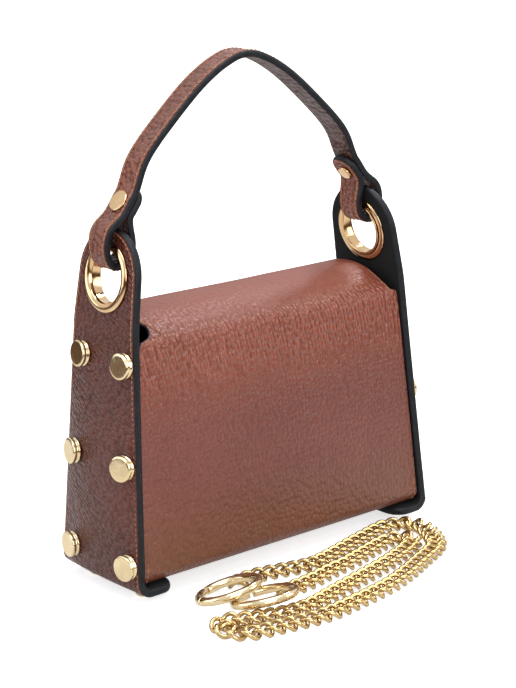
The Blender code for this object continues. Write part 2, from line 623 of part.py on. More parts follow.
def make_flap():
    """The top, which turns about the front fold, and the hanging end, which turns about the back one."""
    profile = flap_profile()
    steps = [math.dist(a, b) for a, b in zip(profile, profile[1:])]
    distances = [sum(steps[:k]) for k in range(len(profile))]
    bites = [NOTCH_DISTANCE + NOTCH_RADIUS * math.sin(turn) for turn in between(-math.pi / 2, math.pi / 2, 6)]
    stations = [d for d in distances if abs(d - NOTCH_DISTANCE) > NOTCH_RADIUS * 1.1] + bites
    grid = []
    for station in sorted(stations):
        k = max(i for i in range(len(steps)) if distances[i] <= station)
        along = (station - distances[k]) / steps[k]
        y = profile[k][0] + (profile[k + 1][0] - profile[k][0]) * along
        height = profile[k][1] + (profile[k + 1][1] - profile[k][1]) * along
        half = flap_half_width(station, distances[-1])
        grid.append([Vector((half * t, y, height + FOOT_HEIGHT)) for t in spread(FLAP_COLUMNS)])
    back = pushed(grid, -FLAP_LEATHER)
    for low, high in zip(back[-1], grid[-1]):
        low.y, low.z = high.y - FLAP_LEATHER, high.z
    mesh = slab_mesh("flap_top", grid, back)
    set_pivot(add_object("flap_top", mesh, "wall_leather"), front_fold())

    start = FLAP_BACK_HEIGHT - SEAT_GAP
    straight = DROP_HEIGHT + DROP_CORNER_RADIUS
    rows = [(height, FLAP_BACK_HALF_WIDTH) for height in between(start, straight, DROP_ROWS)]
    for turn in between(0, math.radians(80), 4)[1:]:
        half = FLAP_BACK_HALF_WIDTH - DROP_CORNER_RADIUS * (1 - math.cos(turn))
        rows.append((straight - DROP_CORNER_RADIUS * math.sin(turn), half))
    grid = [[Vector((half * t, drop_y(height), height + FOOT_HEIGHT)) for t in spread(FLAP_COLUMNS)]
            for height, half in rows]
    mesh = slab_mesh("flap_drop", grid, pushed(grid, -FLAP_LEATHER))
    drop = set_pivot(add_object("flap_drop", mesh, "wall_leather"), back_fold())

    snap = back_wall_frame(DROP_HEIGHT + SNAP_RISE)
    low = SEAT_GAP
    high = low + SNAP_THICKNESS
    outline = [(0, -WALL_LEATHER), (SNAP_POST_RADIUS, -WALL_LEATHER), (SNAP_POST_RADIUS, low),
               (SNAP_RADIUS, low), (SNAP_RADIUS, high - SNAP_RIM / 2),
               (SNAP_RADIUS - SNAP_RIM / 2, high), (0, high)]
    add_turned("snap_stud", outline, EYELET_SEGMENTS // 2, snap, "magnet_steel")
    low = high + SEAT_GAP
    high = low + SNAP_THICKNESS
    post = high + SEAT_GAP + FLAP_LEATHER - SNAP_RIM / 2
    outline = [(0, low), (SNAP_RADIUS - SNAP_RIM / 2, low), (SNAP_RADIUS, low + SNAP_RIM / 2),
               (SNAP_RADIUS, high), (SNAP_POST_RADIUS, high), (SNAP_POST_RADIUS, post), (0, post)]
    set_pivot(add_turned("snap_socket", outline, EYELET_SEGMENTS // 2, snap, "magnet_steel"), back_fold())
    start = snap @ Vector((0, 0, high - SNAP_RIM / 2))
    end = snap @ Vector((0, 0, high + FLAP_LEATHER + CUT_OVERRUN))
    cut_rods(drop, "cuts_drop", [rod(start, end, SNAP_POST_RADIUS + POST_CLEARANCE)])


# Metal on the side panels and base


def make_eyelets():
    washer_low = -(PANEL_STACK + SEAT_GAP)
    washer_high = washer_low - WASHER_THICKNESS
    lip_top = washer_high - SEAT_GAP
    lip_end = lip_top - EYELET_LIP_THICKNESS
    flange = EYELET_FLANGE_RADIUS - BARREL_RADIUS
    low = SEAT_GAP
    high = SEAT_GAP + EYELET_CROWN
    eyelet = [
        (BARREL_RADIUS, low), (EYELET_FLANGE_RADIUS, low), (EYELET_FLANGE_RADIUS, low + EYELET_CROWN * 0.35),
        (EYELET_FLANGE_RADIUS - flange * 0.25, low + EYELET_CROWN * 0.85),
        (EYELET_FLANGE_RADIUS - flange / 2, high), (BARREL_RADIUS + flange * 0.15, low + EYELET_CROWN * 0.8),
        (EYELET_BORE_RADIUS + EYELET_BARREL_WALL / 2, low + EYELET_CROWN * 0.25),
        (EYELET_BORE_RADIUS, -EYELET_CROWN / 2), (EYELET_BORE_RADIUS, lip_end),
        (BARREL_RADIUS + EYELET_LIP, lip_end), (BARREL_RADIUS + EYELET_LIP, lip_top),
        (BARREL_RADIUS, lip_top),
    ]
    washer = [(BARREL_RADIUS + SEAT_GAP, washer_low), (EYELET_FLANGE_RADIUS, washer_low),
              (EYELET_FLANGE_RADIUS, washer_high), (BARREL_RADIUS + SEAT_GAP, washer_high)]
    for side, word in ((-1, "left"), (1, "right")):
        place = panel_frame(0, EYELET_HEIGHT, side)
        add_turned("eyelet_" + word, eyelet, EYELET_SEGMENTS, place, "pale_gold")
        add_turned("eyelet_washer_" + word, washer, EYELET_SEGMENTS, place, "pale_gold")


def nut_outline(low):
    bore = POST_RADIUS + POST_CLEARANCE
    high = low + NUT_THICKNESS
    return [(bore, low), (NUT_RADIUS, low), (NUT_RADIUS, high), (bore, high)]


def make_studs():
    """Six flat studs on each side panel, each with a post through the leather and a nut in the lining."""
    neck_top = STUD_PROUD - STUD_CAP_HEIGHT
    post_end = -(PANEL_LEATHER + SEAT_GAP + NUT_THICKNESS)
    stud = [
        (0, post_end), (POST_RADIUS, post_end), (POST_RADIUS, SEAT_GAP), (STUD_COLLAR_RADIUS, SEAT_GAP),
        (STUD_COLLAR_RADIUS, STUD_COLLAR_HEIGHT), (STUD_NECK_RADIUS, STUD_COLLAR_HEIGHT + STUD_CHAMFER),
        (STUD_NECK_RADIUS, neck_top), (STUD_HEAD_RADIUS, neck_top),
        (STUD_HEAD_RADIUS, STUD_PROUD - STUD_CHAMFER), (STUD_HEAD_RADIUS - STUD_CHAMFER, STUD_PROUD),
        (0, STUD_PROUD),
    ]
    for side, word in ((-1, "left"), (1, "right")):
        for number, (y, height) in enumerate(stud_places(side), 1):
            place = panel_frame(y, height, side)
            add_turned(f"stud_{word}_{number}", stud, STUD_SEGMENTS, place, "pale_gold")
            nut = nut_outline(post_end)
            add_turned(f"stud_nut_{word}_{number}", nut, HOLE_SEGMENTS, place, "magnet_steel")


def make_feet():
    shoulder = FOOT_HEIGHT - SEAT_GAP
    post_end = nut_floor() + NUT_THICKNESS
    edge = FOOT_RADIUS - (FOOT_RADIUS - FOOT_FLAT_RADIUS) / 6
    foot = [(0, 0), (FOOT_FLAT_RADIUS, 0), (edge, FOOT_HEIGHT / 3), (FOOT_RADIUS, shoulder * 2 / 3),
            (FOOT_RADIUS, shoulder), (POST_RADIUS, shoulder), (POST_RADIUS, post_end), (0, post_end)]
    for side, word in ((-1, "left"), (1, "right")):
        for (x, y), end in zip(foot_places(side), ("front", "back")):
            place = Matrix.Translation((x, y, 0))
            add_turned(f"foot_{word}_{end}", foot, ROUND_SEGMENTS, place, "pale_gold")
            nut = nut_outline(nut_floor())
            add_turned(f"foot_nut_{word}_{end}", nut, HOLE_SEGMENTS, place, "magnet_steel")


# The handle


def handle_pivot():
    return Vector((0, 0, EYELET_HEIGHT + FOOT_HEIGHT))


def loop_side():
    """How far the loop's outer face is from the middle of the bag."""
    return panel_edge_x(EYELET_HEIGHT) + LOOP_STAND


def loop_place(reach, rise):
    """A place on the right-hand loop, from shares of its reach and rise."""
    height = LOOP_BOTTOM_HEIGHT + LOOP_RISE * rise + FOOT_HEIGHT
    return Vector((loop_side() - LOOP_REACH * reach, 0, height))


def strap_points():
    """The strap's outer face from the top of the arch to the end of its right-hand loop."""
    half_span = loop_side() - LOOP_REACH
    low = LOOP_BOTTOM_HEIGHT + LOOP_RISE
    rise = ARCH_TOP_HEIGHT - low
    arch = [Vector((half_span * run, 0, low + rise * up + FOOT_HEIGHT)) for run, up in ARCH_SHARES]
    return smooth_path(arch + [loop_place(reach, up) for reach, up in LOOP_SHARES], STRAP_STEPS)


def strap_grid():
    """The outer face of the whole strap, one tip to the other, narrowed to round tips."""
    half = strap_points()
    path = [Vector((-p.x, 0, p.z)) for p in reversed(half[1:])] + half
    steps = [(b - a).length for a, b in zip(path, path[1:])]
    travelled = [sum(steps[:k]) for k in range(len(path))]
    length = travelled[-1]
    tip = STRAP_WIDTH / 2
    grid = []
    for point, distance in zip(path, travelled):
        from_tip = min(distance, length - distance)
        into = max(0, 1 - from_tip / tip) * TIP_SHARE
        along = min(1, max(0, (from_tip - WAIST_START) / (WAIST_END - WAIST_START)))
        waist = (STRAP_WIDTH - STRAP_WAIST) / 2 * math.sin(math.pi * along) ** 2
        width = tip * math.sqrt(1 - into**2) - waist
        grid.append([point + Vector((0, width * t, 0)) for t in (-1, 1)])
    return grid


def rivet_frame(side):
    place = loop_place(RIVET_REACH_SHARE, RIVET_RISE_SHARE)
    return frame_along((side * place.x, 0, place.z), (side * math.cos(RIVET_TILT), 0, math.sin(RIVET_TILT)))


def make_handle():
    """Two plies of leather that run the strap's whole length, and a rivet through the end of each loop."""
    grid = strap_grid()
    stack = 2 * STRAP_THICKNESS + SEAT_GAP
    for name, depth, kind in (("handle_outer", 0, "strap_leather"),
                              ("handle_inner", PLY + SEAT_GAP, "black_lining")):
        face = pushed(grid, depth)
        back = pushed(grid, depth + PLY)
        ply = set_pivot(add_object(name, slab_mesh(name, face, back), kind), handle_pivot())
        rods = []
        for side in (-1, 1):
            place = rivet_frame(side)
            rods.append(rod(place @ Vector((0, 0, -stack - CUT_OVERRUN)), place @ Vector((0, 0, CUT_OVERRUN)),
                            RIVET_SHANK_RADIUS + POST_CLEARANCE))
        cut_rods(ply, "cuts_" + name, rods)

    cap_low = -(stack + SEAT_GAP)
    cap_end = cap_low - RIVET_CAP_THICKNESS
    recess = cap_end + RIVET_CAP_WALL
    shank_end = recess + SEAT_GAP
    head = SEAT_GAP + RIVET_HEAD_HEIGHT
    rim = RIVET_HEAD_HEIGHT / 2
    rivet = [(0, shank_end), (RIVET_SHANK_RADIUS, shank_end), (RIVET_SHANK_RADIUS, SEAT_GAP),
             (RIVET_HEAD_RADIUS, SEAT_GAP), (RIVET_HEAD_RADIUS, head - rim),
             (RIVET_HEAD_RADIUS - rim, head), (0, head)]
    socket = RIVET_SHANK_RADIUS + SEAT_GAP
    cap = [(0, cap_end), (RIVET_CAP_RADIUS - rim, cap_end), (RIVET_CAP_RADIUS, cap_end + rim),
           (RIVET_CAP_RADIUS, cap_low), (socket, cap_low), (socket, recess), (0, recess)]
    for side, word in ((-1, "left"), (1, "right")):
        for name, outline in (("handle_rivet_", rivet), ("handle_rivet_cap_", cap)):
            part = add_turned(name + word, outline, ROUND_SEGMENTS, rivet_frame(side), "pale_gold")
            set_pivot(part, handle_pivot())


# The chain strap and its rings


def chain_offsets():
    """The chain's section: as wide as its links, flat on the floor, with sloping shoulders."""
    wide = CHAIN_WIDTH / 2
    tall = CHAIN_HEIGHT / 2
    return [(-wide, -tall / 2), (-wide * 0.75, -tall), (wide * 0.75, -tall), (wide, -tall / 2),
            (wide, tall / 3), (wide * 0.6, tall), (-wide * 0.6, tall), (-wide, tall / 3)]


def least_gap(points, width):
    """The least clear distance between two runs of the folded chain."""
    apart = 3 * width
    steps = [(b - a).length for a, b in zip(points, points[1:])]
    travelled = [sum(steps[:k]) for k in range(len(points))]
    return min((p - q).length - width for i, p in enumerate(points) for j, q in enumerate(points)
               if travelled[j] - travelled[i] > apart)


def make_chain():
    """One flattened tube along the folded chain, in place of its links."""
    points = [Vector((x * MM, y * MM, CHAIN_HEIGHT / 2)) for x, y in CHAIN_ROUTE]
    print("chain length", round(sum((b - a).length for a, b in zip(points, points[1:])), 4),
          "least gap to itself", round(least_gap(smooth_path(points, CHAIN_STEPS), CHAIN_WIDTH), 5))
    bm = bmesh.new()
    sections = []
    for k, point in enumerate(points):
        along = (points[min(k + 1, len(points) - 1)] - points[max(k - 1, 0)]).normalized()
        across = Vector((along.y, -along.x, 0))
        sections.append([bm.verts.new(point + across * a + Vector((0, 0, up))) for a, up in chain_offsets()])
    count = len(sections[0])
    for low, high in zip(sections, sections[1:]):
        for k in range(count):
            n = (k + 1) % count
            bm.faces.new((low[k], low[n], high[n], high[k]))
    bm.faces.new(sections[0])
    bm.faces.new(sections[-1])
    add_object("chain", mesh_from(bm, "chain"), "pale_gold")


def ring_frame(number):
    """The ring's own frame: Z along its axis, X towards its gate's pin."""
    middle = Vector(CHAIN_ROUTE[0]) * MM
    for step in RING_STEP_SHARES[:number + 1]:
        middle += Vector(step) * RING_RADIUS
    normal = Vector(RING_LEANS[number]).normalized()
    height = RING_WIRE_RADIUS + RING_RADIUS * math.sqrt(1 - normal.z**2) + RING_FLOOR_GAP
    toward = Vector((math.cos(GATE_TURNS[number]), math.sin(GATE_TURNS[number]), 0))
    toward = (toward - normal * toward.dot(normal)).normalized()
    turned = Matrix((toward, normal.cross(toward), normal)).transposed().to_4x4()
    return Matrix.Translation((*middle, height)) @ turned


def seam_turn(reach, offset):
    """Where the seam at the gate's free end, square to the line from its pin, cuts a circle in the ring."""
    chord = RING_RADIUS * math.sin(GATE_ARC / 2) + offset
    return math.pi / 2 + GATE_ARC / 2 - math.acos(chord / reach)


def ring_section(turn_of):
    """One section of the ring's wire; turn_of gives the turn at which each of its sides is met."""
    section = []
    for k in range(RING_SIDES):
        around = 2 * math.pi * (k + 0.5) / RING_SIDES
        reach = RING_RADIUS + RING_WIRE_RADIUS * math.cos(around)
        turn = turn_of(reach)
        height = RING_WIRE_RADIUS * math.sin(around)
        section.append(Vector((reach * math.cos(turn), reach * math.sin(turn), height)))
    return section


def wire_mesh(name, sections, at):
    bm = bmesh.new()
    rings = [[bm.verts.new(at @ p) for p in section] for section in sections]
    for low, high in zip(rings, rings[1:]):
        for k in range(RING_SIDES):
            n = (k + 1) % RING_SIDES
            bm.faces.new((low[k], low[n], high[n], high[k]))
    bm.faces.new(rings[0])
    bm.faces.new(rings[-1])
    return mesh_from(bm, name)


def plate_mesh(name, outline, thickness, at):
    """A flat plate in the ring's plane, from an outline of (x, y)."""
    bm = bmesh.new()
    low = [bm.verts.new(at @ Vector((x, y, -thickness / 2))) for x, y in outline]
    high = [bm.verts.new(at @ Vector((x, y, thickness / 2))) for x, y in outline]
    for k in range(len(outline)):
        n = (k + 1) % len(outline)
        bm.faces.new((low[k], low[n], high[n], high[k]))
    bm.faces.new(low)
    bm.faces.new(high)
    return mesh_from(bm, name)


def make_ring(number):
    """A ring of round wire in two parts: the body, and a gate on a pin that swings into the ring."""
    label = str(number + 1)
    at = ring_frame(number)
    shoulder = RING_WIRE_RADIUS + SEAT_GAP

    body_rows = []
    for share in between(0, 1, RING_SEGMENTS):
        body_rows.append(ring_section(lambda reach, share=share: (1 - share) * seam_turn(reach, SEAT_GAP)
                                      + share * (2 * math.pi - math.asin(shoulder / reach))))
    body = add_object("ring_body_" + label, wire_mesh("ring_body", body_rows, at), "pale_gold")

    gate_rows = []
    for turn in (math.radians(60), math.radians(30)):
        small, back = math.cos(turn), -math.sin(turn) * RING_WIRE_RADIUS
        gate_rows.append([Vector((RING_RADIUS + (p.x - RING_RADIUS) * small, back, p.z * small))
                          for p in ring_section(lambda reach: 0)])
    for share in between(0, 1, RING_SEGMENTS // 5):
        gate_rows.append(ring_section(lambda reach, share=share: share * seam_turn(reach, 0)))
    gate = add_object("ring_gate_" + label, wire_mesh("ring_gate", gate_rows, at), "pale_gold")

    half_turn = between(0, math.pi, 6)
    root = -shoulder - TANG_RADIUS
    tang = [(RING_RADIUS - TANG_RADIUS, root), (RING_RADIUS + TANG_RADIUS, root)]
    tang += [(RING_RADIUS + TANG_RADIUS * math.cos(turn), TANG_RADIUS * math.sin(turn)) for turn in half_turn]
    combine(body, make_cutter("tang_" + label, plate_mesh("tang", tang, TANG_THICKNESS, at)), "UNION")
    wide = RING_WIRE_RADIUS + CUT_OVERRUN
    room = TANG_RADIUS + SEAT_GAP
    slot = [(RING_RADIUS - wide, 0), (RING_RADIUS - wide, -wide),
            (RING_RADIUS + wide, -wide), (RING_RADIUS + wide, 0)]
    slot += [(RING_RADIUS + room * math.cos(turn), room * math.sin(turn)) for turn in half_turn]
    cutter = plate_mesh("slot", slot, TANG_THICKNESS + 2 * SEAT_GAP, at)
    combine(gate, make_cutter("slot_" + label, cutter))

    reach = RING_WIRE_RADIUS + CUT_OVERRUN
    for part in (body, gate):
        start, end = at @ Vector((RING_RADIUS, 0, -reach)), at @ Vector((RING_RADIUS, 0, reach))
        cut_rods(part, "bore_" + part.name, [rod(start, end, PIN_RADIUS + SEAT_GAP)])
    set_pivot(gate, at @ Vector((RING_RADIUS, 0, 0)))
    half_pin = RING_WIRE_RADIUS - SEAT_GAP
    pin = [(0, -half_pin), (PIN_RADIUS, -half_pin), (PIN_RADIUS, half_pin), (0, half_pin)]
    place = at @ Matrix.Translation((RING_RADIUS, 0, 0))
    add_turned("ring_pin_" + label, pin, HOLE_SEGMENTS, place, "pale_gold")


def build():
    clear_scene()
    make_side_panels()
    make_body()
    make_flap()
    make_eyelets()
    make_studs()
    make_feet()
    make_handle()
    make_chain()
    for number in range(len(RING_LEANS)):
        make_ring(number)


build()
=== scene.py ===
import math

import bmesh
import bpy
from mathutils import Matrix, Vector, noise


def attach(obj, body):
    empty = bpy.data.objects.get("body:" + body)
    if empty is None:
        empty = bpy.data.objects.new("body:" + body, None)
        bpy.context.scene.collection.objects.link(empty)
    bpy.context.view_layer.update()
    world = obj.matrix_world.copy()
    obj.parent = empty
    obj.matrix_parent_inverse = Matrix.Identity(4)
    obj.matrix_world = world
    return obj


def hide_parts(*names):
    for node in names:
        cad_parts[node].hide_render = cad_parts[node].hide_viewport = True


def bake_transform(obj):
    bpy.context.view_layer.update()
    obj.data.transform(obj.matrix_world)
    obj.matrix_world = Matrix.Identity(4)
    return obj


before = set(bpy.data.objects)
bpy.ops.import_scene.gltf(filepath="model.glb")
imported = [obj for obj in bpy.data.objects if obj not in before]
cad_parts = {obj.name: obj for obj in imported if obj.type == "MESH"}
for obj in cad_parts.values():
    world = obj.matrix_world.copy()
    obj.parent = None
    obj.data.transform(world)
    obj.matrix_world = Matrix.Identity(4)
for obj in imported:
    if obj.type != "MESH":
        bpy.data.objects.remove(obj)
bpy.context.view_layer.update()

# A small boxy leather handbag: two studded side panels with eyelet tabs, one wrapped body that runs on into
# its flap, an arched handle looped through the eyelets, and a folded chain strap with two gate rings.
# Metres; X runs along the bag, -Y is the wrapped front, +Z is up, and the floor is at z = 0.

MM = 0.001
UP = Vector((0, 0, 1))
SIDES = ((-1, "left"), (1, "right"))

# Sizes, as on the solid pieces that these dress, and the lines that thread and soft leather follow.
# Heights are above the underside of the side panels.
FOOT = 4.5 * MM  # from the floor to that underside
HALF_WIDTH = 105 * MM
HALF_DEPTH = 37 * MM
SEAT_GAP = 0.3 * MM  # between one layer and the next
EDGE_STEPS = 6  # facets round a painted edge

# Side panels
PANEL_STACK = 4.3 * MM  # leather and lining together
PANEL_LIP = 1.1 * MM  # how far the round painted edge stands past the leather's face
PANEL_SEAM = 2.4 * MM  # from the edge in to the stitches
PANEL_LEAN = 0.064  # inward run for each unit of height
TAB_LEAN = 0.096  # added to it in the tab that holds the eyelet
TAB_BEND = 140 * MM
TAB_BEND_SOFTNESS = 4 * MM
TAB_RADIUS = 26 * MM
EYELET_HEIGHT = 167 * MM
STRAIGHT_TOP = EYELET_HEIGHT - 0.9 * MM  # the last row below the round top
BORE_RADIUS = 14.9 * MM  # the hole for the eyelet
BORE_LENGTH = 20 * MM
BORE_TURN = math.radians(1.3)  # keeps the hole's corners off the panel's own rows
PANEL_BULGE = 5.5 * MM  # how far the middle stands out past the edges
BULGE_HEIGHT = 62 * MM
BULGE_REACH = 88 * MM  # from there up and down to where the bulge ends
BEND_RADIUS = 8 * MM  # where a panel turns under the base
TONGUE = 16.5 * MM
TONGUE_TIP = 0.70  # the tongue's depth at its end, as a share of the panel's
TONGUE_ROUND = 0.45  # how far along the tongue its corners start to round
TAB_ARC = (math.radians(3), math.radians(87))  # first and last row of the round top, about the eyelet
PANEL_COLUMNS = 26
PANEL_SEAM_START = 4 * MM  # height where its stitches start

# The wrap, the flap and the lining
WALL_INSET = 2.5 * MM  # from a side panel's edge to the wrap's face
WALL_TOP = 133.3 * MM
WALL_LEATHER = 2.0 * MM
WALL_CORNER = 8 * MM
WALL_BULGE = 1.5 * MM
WRAP_LIP = 0.9 * MM
WRAP_START = 10 * MM  # from the middle of the base to where the front's leather starts
END_GAP = 0.35 * MM  # between the wrap's edge and a side panel's lining
LINING_TOP = 130.8 * MM
LINING_FLOOR = 9.2 * MM
LINING_LEATHER = 1.0 * MM
LINING_LIP = 0.3 * MM
LINING_MARGIN = 0.6 * MM
FOLD_HEIGHT = 134.3 * MM
FOLD_INSET = 1.9 * MM  # from the side panel's edge to the front fold
FOLD_RISE = 2.5 * MM  # along the leather, below the fold, where the wrap narrows to the flap's width
BACK_FOLD_HEIGHT = 136 * MM
ROUND_START = 108 * MM  # height from which the front is smoothed into a round fold
ROUND_EASE = 14 * MM
RIDGE_RISE = 12.4 * MM  # of the flap's top over the front fold
RIDGE = (
    (0.0, 0.0), (0.014, 0.056), (0.034, 0.097), (0.070, 0.145), (0.132, 0.274), (0.172, 0.379),
    (0.221, 0.500), (0.262, 0.590), (0.312, 0.681), (0.385, 0.815), (0.460, 0.915), (0.539, 0.976),
    (0.640, 1.0), (0.718, 0.984), (0.810, 0.903), (0.885, 0.740), (0.948, 0.476), (0.982, 0.274),
    (1.0, 0.1371),
)  # from the front fold to the back one: share of the distance, share of the rise
FLAP_LEATHER = 2.2 * MM
FLAP_BACK_HALF = 83.8 * MM
DROP_LOW = 68 * MM  # the hanging end's lower edge
DROP_CORNER = 16 * MM
DROP_OUT = 4.1 * MM  # from the side panel's edge out to the hanging end's face
DROP_SOFT = 0.6  # how uneven the hanging end is, as a share of the front
BITES = {
    -1: ((0.0, 90.6), (2.4, 89.6), (3.1, 86.9), (4.9, 83.1), (7.4, 80.5), (10.5, 79.0), (13.6, 78.3),
         (17.0, 79.4), (20.0, 82.5), (23.0, 85.0)),
    1: ((0.0, 91.4), (0.6, 89.6), (1.6, 87.7), (6.3, 88.0), (17.0, 88.0), (23.0, 88.2)),
}  # millimetres from the front fold along the leather, and out from the middle, at the left and right ends
BITE_SEAM = {
    -1: ((20.5, 80.4), (15.4, 77.2), (10.2, 74.6), (5.4, 72.9), (3.8, 75.2), (2.4, 79.2), (0.4, 86.6)),
    1: ((20.0, 85.8), (6.3, 85.8), (1.6, 86.0)),
}  # the line of stitches round each bite, measured in the same way
WRAP_SEAM = 1.9 * MM
CORNER_SEAM = (12 * MM, 22 * MM)  # heights over the floor where the low corners are stitched
FRONT_PITCH = 1.2 * MM  # from one row of a mesh to the next
DROP_PITCH = 1.4 * MM
WALL_PITCH = 2.8 * MM
SNAP_RISE = 17 * MM  # from the hanging end's lower edge to the snap's middle

# The handle
STRAP_WIDTH = 17.2 * MM
STRAP_WAIST = 15.3 * MM  # its width where it is narrowest
WAIST_START = 12 * MM  # from the strap's tip to where it starts to narrow
WAIST_LENGTH = 73 * MM
STRAP_THICKNESS = 3.8 * MM
STRAP_LIP = 1.0 * MM
STRAP_SEAM = 2.2 * MM
STRAP_COLUMNS = 12
ARCH_TOP = 277.3 * MM
LOOP_LOW = 170.9 * MM
ARCH_HALF = 97.6 * MM
STRAP = (
    (0.0, 1.0), (0.062, 0.9935), (0.123, 0.9745), (0.205, 0.9395), (0.299, 0.8865), (0.384, 0.8280),
    (0.472, 0.7590), (0.561, 0.6853), (0.641, 0.6153), (0.707, 0.5482), (0.7490, 0.4870), (0.7780, 0.4240),
    (0.8000, 0.3800), (0.8215, 0.3535), (0.8422, 0.3270), (0.8640, 0.2990), (0.8890, 0.2740),
    (0.9160, 0.2550), (0.9450, 0.2360), (0.9710, 0.2110), (0.9890, 0.1800), (0.9985, 0.1430),
    (1.0, 0.1000), (0.9890, 0.0560), (0.9660, 0.0220), (0.9360, 0.0040), (0.9070, 0.0), (0.8720, 0.0065),
    (0.8300, 0.0285), (0.8050, 0.0620), (0.7955, 0.1060), (0.7980, 0.1530), (0.8075, 0.2020),
    (0.8085, 0.2440), (0.7920, 0.2650), (0.7779, 0.2819), (0.7570, 0.3069), (0.7362, 0.3319),
    (0.7210, 0.3500), (0.7153, 0.3569), (0.7122, 0.3606),
)  # from the top of the arch to the end of the right-hand loop: half span, height over the loop
RIVET_PLACE = (0.8422, 0.3270)  # half span and height, as in the line above
RIVET_TILT = math.radians(37.7)

# Metal: outlines of turned pieces as (radius, height) in millimetres, over the face that carries each, and
# over the floor for the feet
EYELET_FLANGE = (
    (14.6, 0.3), (18.6, 0.3), (19.0, 0.9), (18.1, 1.75), (16.9, 2.15), (15.6, 1.95), (14.4, 1.2),
    (13.7, -0.4), (13.7, -6.2), (15.3, -6.2), (15.3, -5.7), (14.6, -5.7),
)
EYELET_WASHER = (
    (14.9, -4.6), (18.4, -4.6), (19.0, -4.9), (18.5, -5.5), (17.2, -5.75), (15.6, -5.45), (14.9, -5.2),
)
STUD = (
    (0, -4.0), (1.5, -4.0), (1.5, 0.3), (6.8, 0.3), (6.9, 1.0), (6.5, 1.5), (6.15, 1.95), (6.15, 2.55),
    (6.9, 2.62), (7.1, 3.0), (7.1, 4.15), (6.75, 4.65), (5.9, 4.8), (3, 4.82), (0, 4.82),
)
FOOT_CAP = ((0, 0), (2.4, 0), (3.9, 1.4), (4.2, 2.8), (4.2, 4.2), (1.5, 4.2), (1.5, 15.2), (0, 15.2))
SNAP_STUD = (
    (0, -2.0), (2, -2.0), (2, 0.3), (9, 0.3), (9, 1.45), (8.4, 2.05), (6.5, 2.05), (6.2, 1.75), (0, 1.75),
)
SNAP_SOCKET = (
    (0, 2.6), (5.8, 2.6), (6.1, 2.35), (8.4, 2.35), (9, 2.95), (9, 4.1), (2, 4.1), (2, 6.0), (0, 6.0),
)
RIVET_HEAD = (
    (0, -9.0), (1.9, -9.0), (1.9, 0.3), (5.95, 0.3), (6.15, 0.8), (5.8, 1.25), (5.1, 1.42), (0, 1.4),
)
RIVET_CAP = ((0, -9.55), (3.9, -9.55), (4.4, -9.2), (4.5, -8.2), (2.2, -8.2), (2.2, -9.0), (0, -9.0))
STUD_TOP_HEIGHT = 124.2 * MM
STUD_ROW_DROP = 53.6 * MM
STUD_EDGE = 10.7 * MM  # from the panel's edge in to a stud's middle, in the top row
STUD_EDGE_STEP = 0.3 * MM  # added in each row below
STUD_SHIFT = 3.3 * MM  # of the rows, to the front on the left panel and to the back on the right one
FOOT_PLACE = (12.5 * MM, 21.5 * MM)  # in from the end, and to the front or back of the middle

# Thread, links and rings
STITCH_LINE = ((-1.05, -0.26), (-0.65, 0.03), (0, 0.12), (0.65, 0.03), (1.05, -0.26))  # millimetres
STITCH_RADIUS = 0.30 * MM
STITCH_PITCH = 2.8 * MM
STITCH_LIFT = 0.10 * MM  # of a seam's line over the leather
STRAP_STITCH_LIFT = 0.08 * MM
BITE_STITCH_LIFT = 0.3 * MM
LINK_PITCH = 6.8 * MM
LINK_HALF = (5.0 * MM, 5.1 * MM)  # along the chain and across it
LINK_WIRE = 1.25 * MM  # radius
LINK_TWIST = 0.8  # radians, one way at one end and the other way at the other
CHAIN_MIDDLE = 3.15 * MM  # height of the line through the links
CHAIN_ROUTE = (
    (-48.2, -48.2), (-38, -47), (-28, -48.5), (-15, -52), (-5, -54.5), (3, -55), (13, -53.3), (22, -51),
    (32, -48.5), (40, -46.2), (51, -43.6), (58, -41.8), (65, -40), (73, -40), (80.5, -44), (83.5, -52),
    (81, -62), (76, -72), (68.5, -81.5), (59, -87), (49.7, -90.8), (40.7, -94.8), (31.6, -98.8),
    (23, -102), (14.3, -105), (8, -106.6), (0.2, -108.1), (-7.6, -109.5), (-15, -110.5), (-24, -111.7),
    (-32, -112.6), (-41, -113), (-49.4, -112.4), (-60.7, -110.2), (-70, -108.3), (-80, -106.3),
    (-87.5, -103), (-92, -97), (-92.5, -90.5), (-89.5, -86), (-83.5, -85.5), (-75, -90), (-62, -95.3),
    (-50, -98.4), (-37, -98.3), (-28, -96.3), (-19, -94), (-11, -92.2), (-3.5, -90.4), (5.4, -88.3),
    (11, -87.0), (20, -84.8), (26, -83.4), (35, -80.7), (42, -78.2), (50, -75.4), (57.8, -71.6),
    (63.4, -67), (65, -62), (62.3, -57.8), (56, -56.8), (46, -58.8), (38, -61), (30, -63.2), (16, -67),
    (5, -68.7), (-5, -70.7), (-15, -73), (-25, -74.2), (-36.5, -74.7),
)  # millimetres on the floor
RINGS = (
    ((-64.5, -60.7), (-0.147, 0.2725, 0.973), 110),
    ((-55.5, -79.5), (-0.035, 0.262, 0.965), 84),
)  # middle in millimetres, axis, and the direction of the pin in degrees
RING_RADIUS = 16.6 * MM
RING_WIRE = 2.4 * MM  # radius
RING_CLEARANCE = 0.05 * MM  # over the floor
RING_BODY_ARC = (math.radians(65.5), math.radians(350.5))
RING_GATE_ARC = (math.radians(4.0), math.radians(63.0))


# Node trees: a socket whose arithmetic adds Math nodes, and one method that adds any other node


